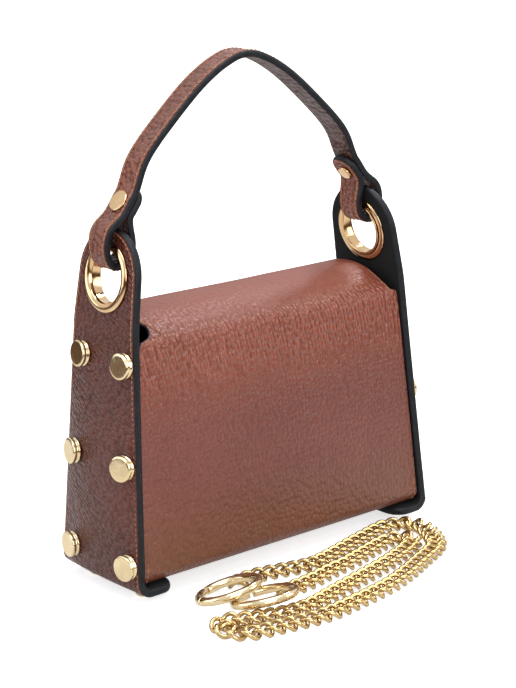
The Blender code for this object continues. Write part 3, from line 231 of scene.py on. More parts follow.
class Wire:
    """A socket whose value can be reckoned with."""

    def __init__(self, net, socket):
        self.net, self.socket = net, socket

    def math(self, operation, *values):
        inputs = dict(enumerate(values))
        return self.net.add("ShaderNodeMath", {"operation": operation}, inputs)

    def __add__(self, other):
        return self.math("ADD", self, other)

    def __radd__(self, other):
        return self.math("ADD", other, self)

    def __sub__(self, other):
        return self.math("SUBTRACT", self, other)

    def __rsub__(self, other):
        return self.math("SUBTRACT", other, self)

    def __mul__(self, other):
        return self.math("MULTIPLY", self, other)

    def __rmul__(self, other):
        return self.math("MULTIPLY", other, self)

    def most(self, other):
        return self.math("MAXIMUM", self, other)

    def ramp(self, low, high):
        """0 at low and 1 at high, eased between them."""
        inputs = {"Value": self, "From Min": low, "From Max": high}
        return self.net.add("ShaderNodeMapRange", {"interpolation_type": "SMOOTHSTEP"}, inputs)

    def out(self, name):
        return Wire(self.net, self.socket.node.outputs[name])


class Net:
    """A node tree that is being built."""

    def __init__(self, tree):
        self.tree = tree

    def add(self, kind, settings=None, inputs=None, output=0):
        node = self.tree.nodes.new(kind)
        for key, value in (settings or {}).items():
            setattr(node, key, value)
        for key, value in (inputs or {}).items():
            self.feed(node.inputs[key], value)
        return Wire(self, node.outputs[output])

    def feed(self, socket, value):
        if isinstance(value, Wire):
            self.tree.links.new(value.socket, socket)
        elif socket.type == "RGBA":
            socket.default_value = (*value, 1)
        else:
            socket.default_value = value

    def blend(self, share, low, high):
        """One colour into another."""
        return self.add("ShaderNodeMix", {"data_type": "RGBA"}, {0: share, 6: low, 7: high}, 2)

    def tint(self, colour, share, other):
        settings = {"data_type": "RGBA", "blend_type": "MULTIPLY"}
        return self.add("ShaderNodeMix", settings, {0: share, 6: colour, 7: other}, 2)

    def place(self, stretch=(1, 1, 1), turn=(0, 0, 0)):
        """Coordinates on a piece, for a pattern that is turned and then drawn out along its own axes."""
        spot = self.add("ShaderNodeTexCoord", output="Object")
        settings = {"vector_type": "TEXTURE"}
        return self.add("ShaderNodeMapping", settings, {0: spot, "Rotation": turn, "Scale": stretch})

    def axis(self, name):
        spot = self.add("ShaderNodeTexCoord", output="Object")
        return self.add("ShaderNodeSeparateXYZ", None, {0: spot}, name)

    def noise(self, spot, scale, detail=2, rough=0.5):
        inputs = {0: spot, "Scale": scale, "Detail": detail, "Roughness": rough}
        return self.add("ShaderNodeTexNoise", None, inputs)

    def warp(self, spot, by, amount):
        """Coordinates pushed about by a noise's colour."""
        inputs = {0: by.out("Color"), 1: (0.5, 0.5, 0.5)}
        centred = self.add("ShaderNodeVectorMath", {"operation": "SUBTRACT"}, inputs)
        small = self.add("ShaderNodeVectorMath", {"operation": "SCALE"}, {0: centred, "Scale": amount})
        return self.add("ShaderNodeVectorMath", {"operation": "ADD"}, {0: spot, 1: small})

    def pebbles(self, spot, cell):
        """Leather grain: round domes, 1 on top of each, down to 0 in the creases between them."""
        bent = self.warp(spot, self.noise(spot, 0.5 / cell, 2), cell * 0.32)
        inputs = {0: bent, "Scale": 1 / cell, "Randomness": 0.78}
        off = self.add("ShaderNodeTexVoronoi", None, inputs)
        return (1 - off * off * 1.7).most(0)

    def bump(self, height, distance, strength=1.0, under=None):
        inputs = {"Height": height, "Distance": distance, "Strength": strength}
        if under:
            inputs["Normal"] = under
        return self.add("ShaderNodeBump", None, inputs)


def finish(name, recipe, **fixed):
    """A material whose recipe returns the links of its Principled shader; fixed sets plain values on it."""
    material = bpy.data.materials.new(name)
    material.use_nodes = True
    shader = material.node_tree.nodes["Principled BSDF"]
    for key, value in fixed.items():
        socket = shader.inputs[key.replace("_", " ").title().replace("Ior", "IOR")]
        socket.default_value = (*value, 1) if isinstance(value, tuple) else value
    net = Net(material.node_tree)
    for key, wire in recipe(net).items():
        net.feed(shader.inputs[key], wire)
    return material


# Finishes


def wrap_leather():
    """The wrap's leather: even pebbles on the walls, drawn out into small ridges over the front fold."""

    def recipe(net):
        height, depth = net.axis("Z"), net.axis("Y")
        top = depth.ramp(-26 * MM, -1 * MM)
        fold = height.ramp(84 * MM, 128 * MM) * (1 - top)
        even = net.pebbles(net.place((0.92, 1.0, 1.25)), 2.5 * MM)
        drawn = net.pebbles(net.place((0.78, 1.4, 1.6), (0, math.radians(-9), 0)), 2.9 * MM)
        patch = net.noise(net.place(), 48, 2).ramp(0.3, 0.7)
        pebble = even + (drawn - even) * fold
        relief = pebble * (0.52 + 0.22 * patch + 0.72 * fold) * (1 - 0.60 * depth.ramp(-26 * MM, 0.0))
        pores = net.noise(net.place(), 1700, 2)
        normal = net.bump(relief, 0.70 * MM, 1.0, net.bump(pores, 0.03 * MM, 0.4))
        broad = net.noise(net.place(), 16, 3).ramp(0.3, 0.7)
        # The tone changes with height: lighter towards the fold, as painted sheen from the light above, and
        # more golden low down, as painted reflection of the gold chain.
        low = net.blend(broad, (0.156, 0.052, 0.026), (0.178, 0.060, 0.033))
        middle = net.blend(broad, (0.160, 0.044, 0.028), (0.186, 0.052, 0.034))
        high = net.blend(broad, (0.214, 0.054, 0.031), (0.240, 0.062, 0.037))
        tone = net.blend(height.ramp(20 * MM, 62 * MM), low, middle)
        tone = net.blend(height.ramp(85 * MM, 130 * MM), tone, high)
        # The creases between the pebbles are darkened, less on the top: painted shade.
        shade = net.tint(tone, (1 - pebble).ramp(0.30, 0.95) * 0.28 * (1 - top), (0.56, 0.42, 0.38))
        # The tops of the drawn ridges over the fold are lightened into thin bright lines: painted
        # highlight.
        painted_ridge_highlight = net.tint(shade, drawn.ramp(0.80, 1.0) * fold * (0.40 + 0.60 * patch), (1.6, 2.0, 2.2))
        rough = 0.27 - 0.04 * fold + 0.13 * top + (1 - pebble) * 0.06
        return {"Base Color": painted_ridge_highlight, "Roughness": rough, "Normal": normal}

    return finish("wrap_leather", recipe, specular_ior_level=0.5)


def grained_leather(name, pale, deep, crease_shade, cell, stretch, turn, relief, roughness, gloss):
    """Pebbled leather: round domes with the creases between them darkened as painted shade, drawn out
    one way, over slow changes of tone. cell is the size of a dome, relief its depth and turn the angle of
    the grain about X."""

    def recipe(net):
        pebble = net.pebbles(net.place(stretch, (turn, 0, 0)), cell)
        patch = net.noise(net.place(), 55, 2).ramp(0.28, 0.72)
        height = pebble * (0.55 + 0.45 * patch)
        pores = net.noise(net.place(), 1500, 2)
        ripple = net.noise(net.place((1, 2.4, 1), (turn, 0, 0)), 90, 2).ramp(0.3, 0.75)
        normal = net.bump(ripple, relief, 1.0, net.bump(pores, 0.03 * MM, 0.4))
        normal = net.bump(height, relief, 1.0, normal)
        broad = net.noise(net.place(), 15, 3).ramp(0.3, 0.7)
        tone = net.blend(broad, deep, pale)
        # The creases between the pebbles are darkened: painted shade.
        shade = net.tint(tone, (1 - pebble).ramp(0.30, 0.95) * 0.42, crease_shade)
        rough = roughness + (1 - pebble) * 0.10
        return {"Base Color": shade, "Roughness": rough, "Normal": normal}

    return finish(name, recipe, specular_ior_level=gloss)


def painted_edge():
    """Dark edge paint, thick and slightly uneven, on the cut edges of the leather."""

    def recipe(net):
        slow = net.noise(net.place(), 240, 2)
        fine = net.noise(net.place(), 1500, 2)
        normal = net.bump(fine, 0.05 * MM, 0.6, net.bump(slow, 0.40 * MM))
        colour = net.blend(slow.ramp(0.35, 0.7), (0.0030, 0.0042, 0.0070), (0.0065, 0.0085, 0.0130))
        return {"Base Color": colour, "Roughness": 0.44 + fine * 0.14, "Normal": normal}

    return finish("edge_paint", recipe, specular_ior_level=0.28)


def black_lining():
    def recipe(net):
        nap = net.noise(net.place(), 2600, 3)
        slow = net.noise(net.place(), 90, 2)
        colour = net.blend(slow, (0.0050, 0.0050, 0.0058), (0.0105, 0.0102, 0.0110))
        normal = net.bump(nap, 0.10 * MM, 0.7)
        return {"Base Color": colour, "Roughness": 0.82 + nap * 0.1, "Normal": normal}

    return finish("black_lining", recipe, specular_ior_level=0.25)


def plated_gold(name, colour, roughness):
    """Pale gold plate, with faint brushing, small marks and slow waves that bend its reflections."""

    def recipe(net):
        slow = net.noise(net.place(), 120, 2)
        marks = net.noise(net.place((1, 1, 0.2)), 700, 4, 0.65)
        deep = tuple(c * s for c, s in zip(colour, (0.90, 0.86, 0.78)))
        tone = net.blend(slow.ramp(0.3, 0.75), deep, colour)
        normal = net.bump(marks, 0.01 * MM, 0.5, net.bump(slow, 0.22 * MM))
        return {"Base Color": tone, "Roughness": roughness + marks.ramp(0.45, 0.8) * 0.12, "Normal": normal}

    return finish(name, recipe, metallic=1.0)


def tan_thread():
    """Waxed tan thread: two strands twisted together."""

    def recipe(net):
        tone = net.noise(net.place(), 500, 1)
        inputs = {0: net.place(turn=(0.6, 0.5, 0.6)), "Scale": 900, "Distortion": 1}
        twist = net.add("ShaderNodeTexWave", None, inputs)
        colour = net.blend(tone.ramp(0.3, 0.7), (0.30, 0.110, 0.046), (0.46, 0.185, 0.080))
        normal = net.bump(twist, 0.08 * MM, 0.8)
        return {"Base Color": colour, "Roughness": 0.55 + tone * 0.1, "Normal": normal}

    return finish("tan_thread", recipe, sheen_weight=0.15)


def plain_steel():
    def recipe(net):
        brushed = net.noise(net.place((1, 1, 0.08)), 400, 3)
        return {"Roughness": 0.24 + brushed * 0.2, "Normal": net.bump(brushed, 0.02 * MM)}

    return finish("plain_steel", recipe, base_color=(0.50, 0.49, 0.47), metallic=1.0)


def stiff_board():
    def recipe(net):
        fibre = net.noise(net.place((1, 0.16, 1)), 500, 4)
        colour = net.blend(fibre, (0.05, 0.045, 0.04), (0.09, 0.082, 0.072))
        return {"Base Color": colour, "Roughness": 0.8 + fibre * 0.15, "Normal": net.bump(fibre, 0.10 * MM)}

    return finish("stiff_board", recipe)


WRAP = wrap_leather()
# The side panels' leather is the wrap's leather made darker: painted shade for the lesser light on the side
# panels.
SIDE = grained_leather(
    "side_leather", pale=(0.114, 0.028, 0.018), deep=(0.077, 0.019, 0.013), crease_shade=(0.30, 0.22, 0.22),
    cell=2.5 * MM, stretch=(1.0, 1.5, 0.85), turn=math.radians(24), relief=0.90 * MM,
    roughness=0.24, gloss=0.33,
)
STRAP_OUT = grained_leather(
    "strap_leather", pale=(0.210, 0.060, 0.034), deep=(0.145, 0.041, 0.024), crease_shade=(0.22, 0.16, 0.16),
    cell=2.9 * MM, stretch=(1.0, 1.2, 1.0), turn=0, relief=1.20 * MM,
    roughness=0.28, gloss=0.5,
)
STRAP_IN = grained_leather(
    "strap_inner_leather", pale=(0.080, 0.027, 0.020), deep=(0.052, 0.018, 0.015), crease_shade=(0.24, 0.2, 0.2),
    cell=2.8 * MM, stretch=(1.0, 1.2, 1.0), turn=0, relief=1.00 * MM,
    roughness=0.32, gloss=0.5,
)
EDGE = painted_edge()
LINING = black_lining()
GOLD = plated_gold("pale_gold", (0.80, 0.67, 0.43), 0.12)
DEEP_GOLD = plated_gold("deep_gold", (0.72, 0.51, 0.30), 0.10)
# The chain's gold is darker than the studs' gold: painted shade for the dark reflections among its links.
CHAIN_GOLD = plated_gold("chain_gold", (0.58, 0.43, 0.21), 0.06)
THREAD = tan_thread()
STEEL = plain_steel()
BOARD = stiff_board()


# Shapes


def add(name, mesh, *materials):
    thing = bpy.data.objects.new(name, mesh)
    bpy.context.scene.collection.objects.link(thing)
    for material in materials:
        mesh.materials.append(material)
    return thing


def smoothed(mesh, angle):
    mesh.shade_smooth()
    mesh.set_sharp_from_angle(angle=math.radians(angle))
    return mesh


def mesh_of(bm, name, angle=40):
    bmesh.ops.recalc_face_normals(bm, faces=bm.faces)
    mesh = bpy.data.meshes.new(name)
    bm.to_mesh(mesh)
    bm.free()
    return smoothed(mesh, angle)


def seat(piece, body, slot, *nodes):
    """The piece rides on a body and stands for the nodes named. slot is not used."""
    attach(piece, body)
    if nodes:
        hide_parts(*nodes)
    return piece


def axis_frame(origin, axis):
    return Matrix.Translation(Vector(origin)) @ Vector(axis).to_track_quat("Z", "Y").to_matrix().to_4x4()


def between(low, high, count):
    return [low + (high - low) * k / count for k in range(count + 1)]


def held(value):
    """The value, kept between 0 and 1."""
    return min(1, max(0, value))


def eased(outline, radius, steps=4):
    """An outline given in millimetres, in metres and with each inner corner rounded."""
    points = [(r * MM, h * MM) for r, h in outline]
    soft = [points[0]]
    for before, corner, after in zip(points, points[1:], points[2:]):
        before, corner, after = Vector(before), Vector(corner), Vector(after)
        back, ahead = before - corner, after - corner
        start = corner + back.normalized() * min(radius, back.length * 0.48)
        end = corner + ahead.normalized() * min(radius, ahead.length * 0.48)
        for t in between(0, 1, steps):
            soft.append(tuple(start * (1 - t) ** 2 + corner * 2 * t * (1 - t) + end * t**2))
    return soft + [points[-1]]


def turned(name, outline, segments, place, material):
    """A body turned about the Z axis of its place from an outline of (radius, height), which closes on
    itself where it doesn't start on the axis."""
    bm = bmesh.new()
    rings = []
    for radius, height in outline:
        turns = [2 * math.pi * k / segments for k in range(segments if radius else 1)]
        rings.append([bm.verts.new((radius * math.cos(a), radius * math.sin(a), height)) for a in turns])
    pairs = list(zip(rings, rings[1:]))
    if outline[0][0] != 0:
        pairs.append((rings[-1], rings[0]))
    for low, high in pairs:
        for k in range(segments):
            n = (k + 1) % segments
            corners = [low[k % len(low)], low[n % len(low)], high[n % len(high)], high[k % len(high)]]
            bm.faces.new(list(dict.fromkeys(corners)))
    bm.transform(place)
    return add(name, mesh_of(bm, name), material)


def smooth_path(points, steps):
    """A smooth line through points, with so many steps between neighbours."""
    path = []
    for i in range(len(points) - 1):
        before, start, end, after = (points[min(max(k, 0), len(points) - 1)] for k in range(i - 1, i + 3))
        for step in range(steps):
            t = step / steps
            bend = (end - before) * t + (before * 2 - start * 5 + end * 4 - after) * t**2
            bend += (start * 3 - before - end * 3 + after) * t**3
            path.append(start + bend / 2)
    return path + [points[-1]]


def normals_of(grid):
    """The outward direction at each point of a grid."""
    rows, columns = len(grid), len(grid[0])
    result = []
    for i in range(rows):
        line = []
        for j in range(columns):
            down = grid[min(i + 1, rows - 1)][j] - grid[max(i - 1, 0)][j]
            across = grid[i][min(j + 1, columns - 1)] - grid[i][max(j - 1, 0)]
            line.append(across.cross(down).normalized())
        result.append(line)
    return result


def leather_slab(name, grid, thickness, lip, free="lrse"):
    """A closed sheet of leather. The grid is its outer face, short of its free edges by the lip; there the
    sheet ends in a round painted edge. free names the free edges: left, right, start and end.
    Face 0 is the leather, 1 the painted edge and 2 the back."""
    rows, columns = len(grid), len(grid[0])
    normals = normals_of(grid)
    bm = bmesh.new()
    face = [[bm.verts.new(p) for p in row] for row in grid]
    back = []
    for row, line in zip(grid, normals):
        back.append([bm.verts.new(p - n * thickness) for p, n in zip(row, line)])
    for i in range(rows - 1):
        for j in range(columns - 1):
            for side, kind in ((face, 0), (back, 2)):
                quad = bm.faces.new((side[i][j], side[i][j + 1], side[i + 1][j + 1], side[i + 1][j]))
                quad.material_index = kind
    rim = [(0, j, "s") for j in range(columns - 1)]
    rim += [(i, columns - 1, "r") for i in range(rows - 1)]
    rim += [(rows - 1, j, "e") for j in range(columns - 1, 0, -1)]
    rim += [(i, 0, "l") for i in range(rows - 1, 0, -1)]
    count = len(rim)
    strips = []
    for k, (i, j, side) in enumerate(rim):
        (pi, pj, before), (ni, nj, _) = rim[k - 1], rim[(k + 1) % count]
        here, last, following = grid[i][j], grid[pi][pj], grid[ni][nj]
        came, goes = before in free, side in free
        start = here if goes and not came else last
        end = here if came and not goes else following
        out = (end - start).cross(normals[i][j]).normalized() * (lip if came or goes else 0)
        strip = [face[i][j]]
        for turn in between(0, math.pi, EDGE_STEPS)[1:-1]:
            depth = thickness / 2 * (1 - math.cos(turn))
            strip.append(bm.verts.new(here + out * math.sin(turn) - normals[i][j] * depth))
        strips.append((strip + [back[i][j]], side))
    for k, (strip, side) in enumerate(strips):
        following = strips[(k + 1) % count][0]
        for a, b, c, d in zip(strip, following, following[1:], strip[1:]):
            quad = bm.faces.new((a, b, c, d))
            quad.material_index = 1 if side in free else 0
    return mesh_of(bm, name)


def settle(thing):
    """The result of a piece's modifiers becomes its plain mesh."""
    mesh = bpy.data.meshes.new_from_object(thing.evaluated_get(bpy.context.evaluated_depsgraph_get()))
    thing.modifiers.clear()
    thing.data = mesh


def cut_bore(thing, place, radius, length):
    """A round hole through a finished piece."""
    bm = bmesh.new()
    at = place @ Matrix.Translation((0, 0, -length / 2)) @ Matrix.Rotation(BORE_TURN, 4, "Z")
    size = {"segments": 96, "radius1": radius, "radius2": radius, "depth": length}
    bmesh.ops.create_cone(bm, cap_ends=True, matrix=at, **size)
    cutter = add("bore", mesh_of(bm, "bore"))
    modifier = thing.modifiers.new("bore", "BOOLEAN")
    modifier.operation, modifier.solver, modifier.object = "DIFFERENCE", "EXACT", cutter
    settle(thing)
    bpy.data.objects.remove(cutter)


def tube(bm, points, radius, sides, closed=False, ups=None):
    """A round wire along points, added to a mesh under construction."""
    rings = []
    count = len(points)
    for k, point in enumerate(points):
        if closed:
            along = (points[(k + 1) % count] - points[k - 1]).normalized()
        else:
            along = (points[min(k + 1, count - 1)] - points[max(k - 1, 0)]).normalized()
        up = ups[k] if ups else UP
        across = along.cross(up).normalized()
        up = across.cross(along)
        rings.append([bm.verts.new(point + (across * math.cos(a) + up * math.sin(a)) * radius)
                      for a in (2 * math.pi * n / sides for n in range(sides))])
    pairs = list(zip(rings, rings[1:] + rings[:1])) if closed else list(zip(rings, rings[1:]))
    for low, high in pairs:
        for k in range(sides):
            n = (k + 1) % sides
            bm.faces.new((low[k], low[n], high[n], high[k]))
    if not closed:
        for ring, end, inward in ((rings[0], points[0], points[1]), (rings[-1], points[-1], points[-2])):
            tip = bm.verts.new(end + (end - inward).normalized() * radius * 0.35)
            for k in range(sides):
                bm.faces.new((ring[k], ring[(k + 1) % sides], tip))


# What repeats along a line: one geometry tree, with the item, its pitch and its material as inputs


def repeat_tree():
    tree = bpy.data.node_groups.new("repeat_along_line", "GeometryNodeTree")
    sockets = tree.interface
    for name, kind in (("Line", "Geometry"), ("Item", "Object"), ("Pitch", "Float"), ("Tone", "Material")):
        sockets.new_socket(name, in_out="INPUT", socket_type="NodeSocket" + kind)
    sockets.new_socket("Row", in_out="OUTPUT", socket_type="NodeSocketGeometry")
    net = Net(tree)
    given = net.add("NodeGroupInput")
    line = net.add("GeometryNodeMeshToCurve", None, {0: given.out("Line")})
    inputs = {"Curve": line, "Length": given.out("Pitch")}
    even = net.add("GeometryNodeResampleCurve", {"mode": "LENGTH"}, inputs)
    along = net.add("GeometryNodeInputTangent")
    up = net.add("GeometryNodeInputNamedAttribute", {"data_type": "FLOAT_VECTOR"}, {"Name": "up"})
    facing = net.add("FunctionNodeAlignRotationToVector", {"axis": "X"}, {"Vector": along})
    settings = {"axis": "Z", "pivot_axis": "X"}
    facing = net.add("FunctionNodeAlignRotationToVector", settings, {"Rotation": facing, "Vector": up})
    item = net.add("GeometryNodeObjectInfo", None, {"Object": given.out("Item")}, "Geometry")
    inputs = {"Points": even, "Instance": item, "Rotation": facing}
    copies = net.add("GeometryNodeInstanceOnPoints", None, inputs)
    whole = net.add("GeometryNodeRealizeInstances", None, {0: copies})
    toned = net.add("GeometryNodeSetMaterial", None, {"Geometry": whole, "Material": given.out("Tone")})
    out = tree.nodes.new("NodeGroupOutput")
    tree.links.new(toned.socket, out.inputs["Row"])
    return tree


REPEAT = repeat_tree()


def row_of(name, lines, item, pitch, material):
    """Copies of an item along lines of (point, up), as one plain mesh."""
    verts, edges, ups = [], [], []
    for line in lines:
        start = len(verts)
        verts += [point for point, _ in line]
        ups += [c for _, up in line for c in up]
        edges += [(start + k, start + k + 1) for k in range(len(line) - 1)]
    mesh = bpy.data.meshes.new(name)
    mesh.from_pydata(verts, edges, [])
    mesh.attributes.new("up", "FLOAT_VECTOR", "POINT").data.foreach_set("vector", ups)
    thing = add(name, mesh)
    modifier = thing.modifiers.new("repeat", "NODES")
    modifier.node_group = REPEAT
    values = {"Item": item, "Pitch": pitch, "Tone": material}
    for socket in REPEAT.interface.items_tree:
        if socket.in_out == "INPUT" and socket.name in values:
            modifier[socket.identifier] = values[socket.name]
    settle(thing)
    smoothed(thing.data, 60)
    return thing


def stitch_item():
    """One stitch: a short fat thread that dips at both ends."""
    bm = bmesh.new()
    tube(bm, [Vector((x * MM, 0, z * MM)) for x, z in STITCH_LINE], STITCH_RADIUS, sides=6)
    return add("stitch", mesh_of(bm, "stitch", 70))


STITCH = stitch_item()


# The side panels


def panel_half(height, lip=0.0):
    """Half the panel's depth at a height, less the lip."""
    radius = TAB_RADIUS - lip
    if height <= EYELET_HEIGHT:
        return HALF_DEPTH - lip + (TAB_RADIUS - HALF_DEPTH) * height / EYELET_HEIGHT
    return math.sqrt(max(0, radius**2 - (height - EYELET_HEIGHT) ** 2))


def panel_edge_x(height):
    """How far out the panel's front and back edges stand."""
    over = max(0, height - TAB_BEND)
    return HALF_WIDTH - PANEL_LEAN * height - TAB_LEAN * over**2 / (over + TAB_BEND_SOFTNESS)


def panel_bulge(height):
    """How far the panel's middle stands out past its edges."""
    reach = min(1, abs(height - BULGE_HEIGHT) / BULGE_REACH)
    return PANEL_BULGE * (1 - reach**2) ** 1.5


def panel_x(y, height):
    share = min(1, abs(y) / panel_half(height))
    return panel_edge_x(height) + panel_bulge(height) * (1 - share**2)


def panel_normal(y, height, side):
    step = 2 * MM
    slope_y = (panel_x(y + step, height) - panel_x(y - step, height)) / (2 * step)
    slope_z = (panel_x(y, height + step) - panel_x(y, height - step)) / (2 * step)
    return Vector((side, -slope_y, -slope_z)).normalized()


def panel_frame(y, height, side):
    """A place on a panel's face, with Z pointing out of the leather."""
    return axis_frame((side * panel_x(y, height), y, height + FOOT), panel_normal(y, height, side))


def panel_rows(lip):
    """(x, height, half depth, swell) of each row of the right-hand panel, tongue end to tab top."""
    middle = panel_edge_x(BEND_RADIUS) - BEND_RADIUS
    rows = []
    for turn in between(0, math.pi / 2, 10)[:-1]:
        share = math.cos(turn) ** 0.8
        over = max(0, (share - TONGUE_ROUND) / (1 - TONGUE_ROUND))
        half = (HALF_DEPTH - lip) * (TONGUE_TIP + (1 - TONGUE_TIP) * math.sqrt(1 - over**2))
        rows.append((middle - (TONGUE - lip) * share, 0, half, 0))
    for turn in between(0, math.pi / 2, 8)[:-1]:
        height = BEND_RADIUS * (1 - math.cos(turn))
        x = middle + BEND_RADIUS * math.sin(turn)
        rows.append((x, height, HALF_DEPTH - lip, panel_bulge(BEND_RADIUS) * math.sin(turn) ** 2))
    for height in between(BEND_RADIUS, STRAIGHT_TOP, 66):
        rows.append((panel_edge_x(height), height, panel_half(height, lip), panel_bulge(height)))
    for turn in between(*TAB_ARC, 16):
        height = EYELET_HEIGHT + (TAB_RADIUS - lip) * math.sin(turn)
        rows.append((panel_edge_x(height), height, (TAB_RADIUS - lip) * math.cos(turn), 0))
    return rows


def panel_sag(x, y, z):
    """A slow, shallow unevenness that keeps the leather from looking ruled."""
    slow = noise.noise(Vector((x, y, z)) * 28) * 0.35 * MM
    fold = noise.noise(Vector((y + z * 0.7, y * 0.25 - z * 0.35, x)) * 120) * 0.10 * MM
    return slow + fold


def panel_grid(lip):
    """The right-hand panel's outer face, short of its edges by the lip."""
    shares = [2 * k / PANEL_COLUMNS - 1 for k in range(PANEL_COLUMNS + 1)]
    grid = []
    for x, height, half, swell in panel_rows(lip):
        row = []
        for t in shares:
            # The unevenness fades towards the base and the edges, and leaves the tab flat
            fade = min(1, height / (30 * MM)) * min(1, (1 - abs(t)) * 5)
            soft = fade if height < 150 * MM else 0
            out = swell * (1 - t * t) + soft * panel_sag(x, t * half, height)
            row.append(Vector((x + out, t * half, height + FOOT)))
        grid.append(row)
    return grid


def edge_line(grid, lift):
    """(point, up) along the left, end and right edges of a grid, a little above it."""
    normals = normals_of(grid)
    rows, columns = len(grid), len(grid[0])
    run = [(i, 0) for i in range(rows)]
    run += [(rows - 1, j) for j in range(1, columns - 1)]
    run += [(i, columns - 1) for i in range(rows - 1, -1, -1)]
    return [(grid[i][j] + normals[i][j] * lift, normals[i][j]) for i, j in run]


def mirror(vector, side):
    return Vector((vector.x * side, vector.y, vector.z))


def make_side_panels():
    grid = panel_grid(PANEL_LIP)
    seam = edge_line(panel_grid(PANEL_SEAM), STITCH_LIFT)
    for side, word in SIDES:
        name = "side_panel_skin_" + word
        shaped = [[mirror(p, side) for p in (row if side > 0 else row[::-1])] for row in grid]
        panel = add(name, leather_slab(name, shaped, PANEL_STACK, PANEL_LIP), SIDE, EDGE, LINING)
        cut_bore(panel, panel_frame(0, EYELET_HEIGHT, side), BORE_RADIUS, BORE_LENGTH)
        seat(panel, "bag", "side_leather", "side_panel_" + word, "side_lining_" + word)
        above = [(spot, up) for spot, up in seam if spot.z > FOOT + PANEL_SEAM_START]
        line = [(mirror(spot, side), mirror(up, side)) for spot, up in above]
        stitches = row_of("side_stitches_" + word, [line], STITCH, STITCH_PITCH, THREAD)
        seat(stitches, "bag", "side_leather")


# The wrapped body, its flap and its lining


def wall_y(height, inset):
    """Half the depth of a layer of the wrap, an inset in from the side panels' edges."""
    return panel_half(height) - inset


def room(y, height):
    """Half the room between the side panels."""
    if height >= BEND_RADIUS:
        return panel_x(y, height) - (PANEL_STACK + END_GAP) / panel_normal(y, height, 1).x
    middle = panel_edge_x(BEND_RADIUS) - BEND_RADIUS
    inner = BEND_RADIUS - PANEL_STACK
    return middle + math.sqrt(max(0, inner**2 - (BEND_RADIUS - height) ** 2)) - END_GAP


def face_soft(x, y, z):
    """The slow waves and small dents of leather on a soft wall."""
    waves = noise.noise(Vector((x * 14, y * 14, z * 22 + 3))) * 0.55 * MM
    return waves + noise.noise(Vector((x * 60, y * 30, z * 18))) * 0.10 * MM


def flap_line():
    """(y, height) of the flap's outer face from the front fold to the back one."""
    front = FOLD_INSET - panel_half(FOLD_HEIGHT)
    back = panel_half(BACK_FOLD_HEIGHT) + DROP_OUT
    return [(front + (back - front) * run, FOLD_HEIGHT + RIDGE_RISE * rise) for run, rise in RIDGE]


def walk(points, pitch):
    """Points an even distance apart on a smooth line through the given ones, each with its distance."""
    fine = smooth_path([Vector(p) for p in points], 12)
    travelled = [0.0]
    for a, b in zip(fine, fine[1:]):
        travelled.append(travelled[-1] + (b - a).length)
    count = max(2, round(travelled[-1] / pitch))
    path, k = [], 0
    for target in between(0, travelled[-1], count):
        while k < len(fine) - 2 and travelled[k + 1] < target:
            k += 1
        share = (target - travelled[k]) / max(1e-9, travelled[k + 1] - travelled[k])
        path.append((fine[k].lerp(fine[k + 1], min(1, share)), target))
    return path


def flap_half(distance, length, side):
    """From the middle of the flap out to one end, at a distance along the leather from the front fold."""
    line = [(d * MM, half * MM) for d, half in BITES[side]] + [(length, FLAP_BACK_HALF)]
    for (low, before), (high, after) in zip(line, line[1:]):
        if distance <= high:
            share = max(0, distance - low) / (high - low)
            return before + (after - before) * share
    return FLAP_BACK_HALF


# Columns of the wrapped leather, closer together near its edges
SHARES = [math.sin(math.pi / 2 * t) * 0.35 + t * 0.65 for t in between(-1, 1, 44)]


def rounded_fold(path):
    """The same path with the fold eased into a soft round."""
    path = list(path)
    for _ in range(16):
        soft = path[:]
        for k in range(1, len(path) - 1):
            share = held((path[k].y - ROUND_START) / ROUND_EASE) * min(1, (len(path) - 1 - k) / 10)
            soft[k] = path[k].lerp((path[k - 1] + path[k + 1]) / 2, 0.5 * share)
        path = soft
    return path


def length_of(line):
    return sum(math.dist(a, b) for a, b in zip(line, line[1:]))


def base_corner(inset, floor):
    """(y, height) round the corner from the base up into the back, for a layer of the wrap."""
    radius = WALL_CORNER - (inset - WALL_INSET)
    top = floor + radius
    side = wall_y(top, inset)
    line = []
    for turn in between(0, math.pi / 2, 5):
        line.append((side - radius + radius * math.sin(turn), top - radius * math.cos(turn)))
    return line, top


def front_grid():
    """Outer face from under the base, up the front, over the fold and back over the top, with each row's
    distance from the fold."""
    floor = PANEL_STACK + SEAT_GAP
    corner, top = base_corner(WALL_INSET, floor)
    line = [(-WRAP_START, floor), (-WRAP_START - WALL_CORNER, floor)]
    line += [(-y, height) for y, height in corner]
    for height in between(top, WALL_TOP - 2 * MM, 8)[1:]:
        line.append((-wall_y(height, WALL_INSET), height))
    over = flap_line()
    length = length_of(over)
    whole = walk(line + over[:-3], FRONT_PITCH)
    fold = walk(line + over[:1], FRONT_PITCH)[-1][1]
    path = rounded_fold(point for point, _ in whole)
    marks = [travelled - fold for _, travelled in whole]
    grid = []
    for (y, height), distance in zip(path, marks):
        wall = room(y, height) - WRAP_LIP
        near = held(1 + distance / FOLD_RISE) ** 2
        swell = WALL_BULGE * math.sin(math.pi * held(height / WALL_TOP)) * (1 - near)
        soft = min(1, abs(distance) / (8 * MM)) * min(1, height / (25 * MM))
        row = []
        for t in SHARES:
            flap = flap_half(max(0, distance), length, 1 if t > 0 else -1) - WRAP_LIP
            x = (wall + (flap - wall) * near) * t
            if distance < 0:
                out = swell * (1 - t * t) + (1 - t**6) * soft * face_soft(x, y, height)
                row.append(Vector((x, y - out, height + FOOT)))
            else:
                row.append(Vector((x, y, height + FOOT + soft * (1 - t**4) * face_soft(x, y, 0.13))))
        grid.append(row)
    return grid, marks


def hanging_point(half, t, y, height, soft):
    """A point of the hanging end, a share of the way out, on its soft face."""
    x = half * t
    return Vector((x, y + soft * (1 - t**4) * face_soft(x, 0.2, height), height + FOOT))


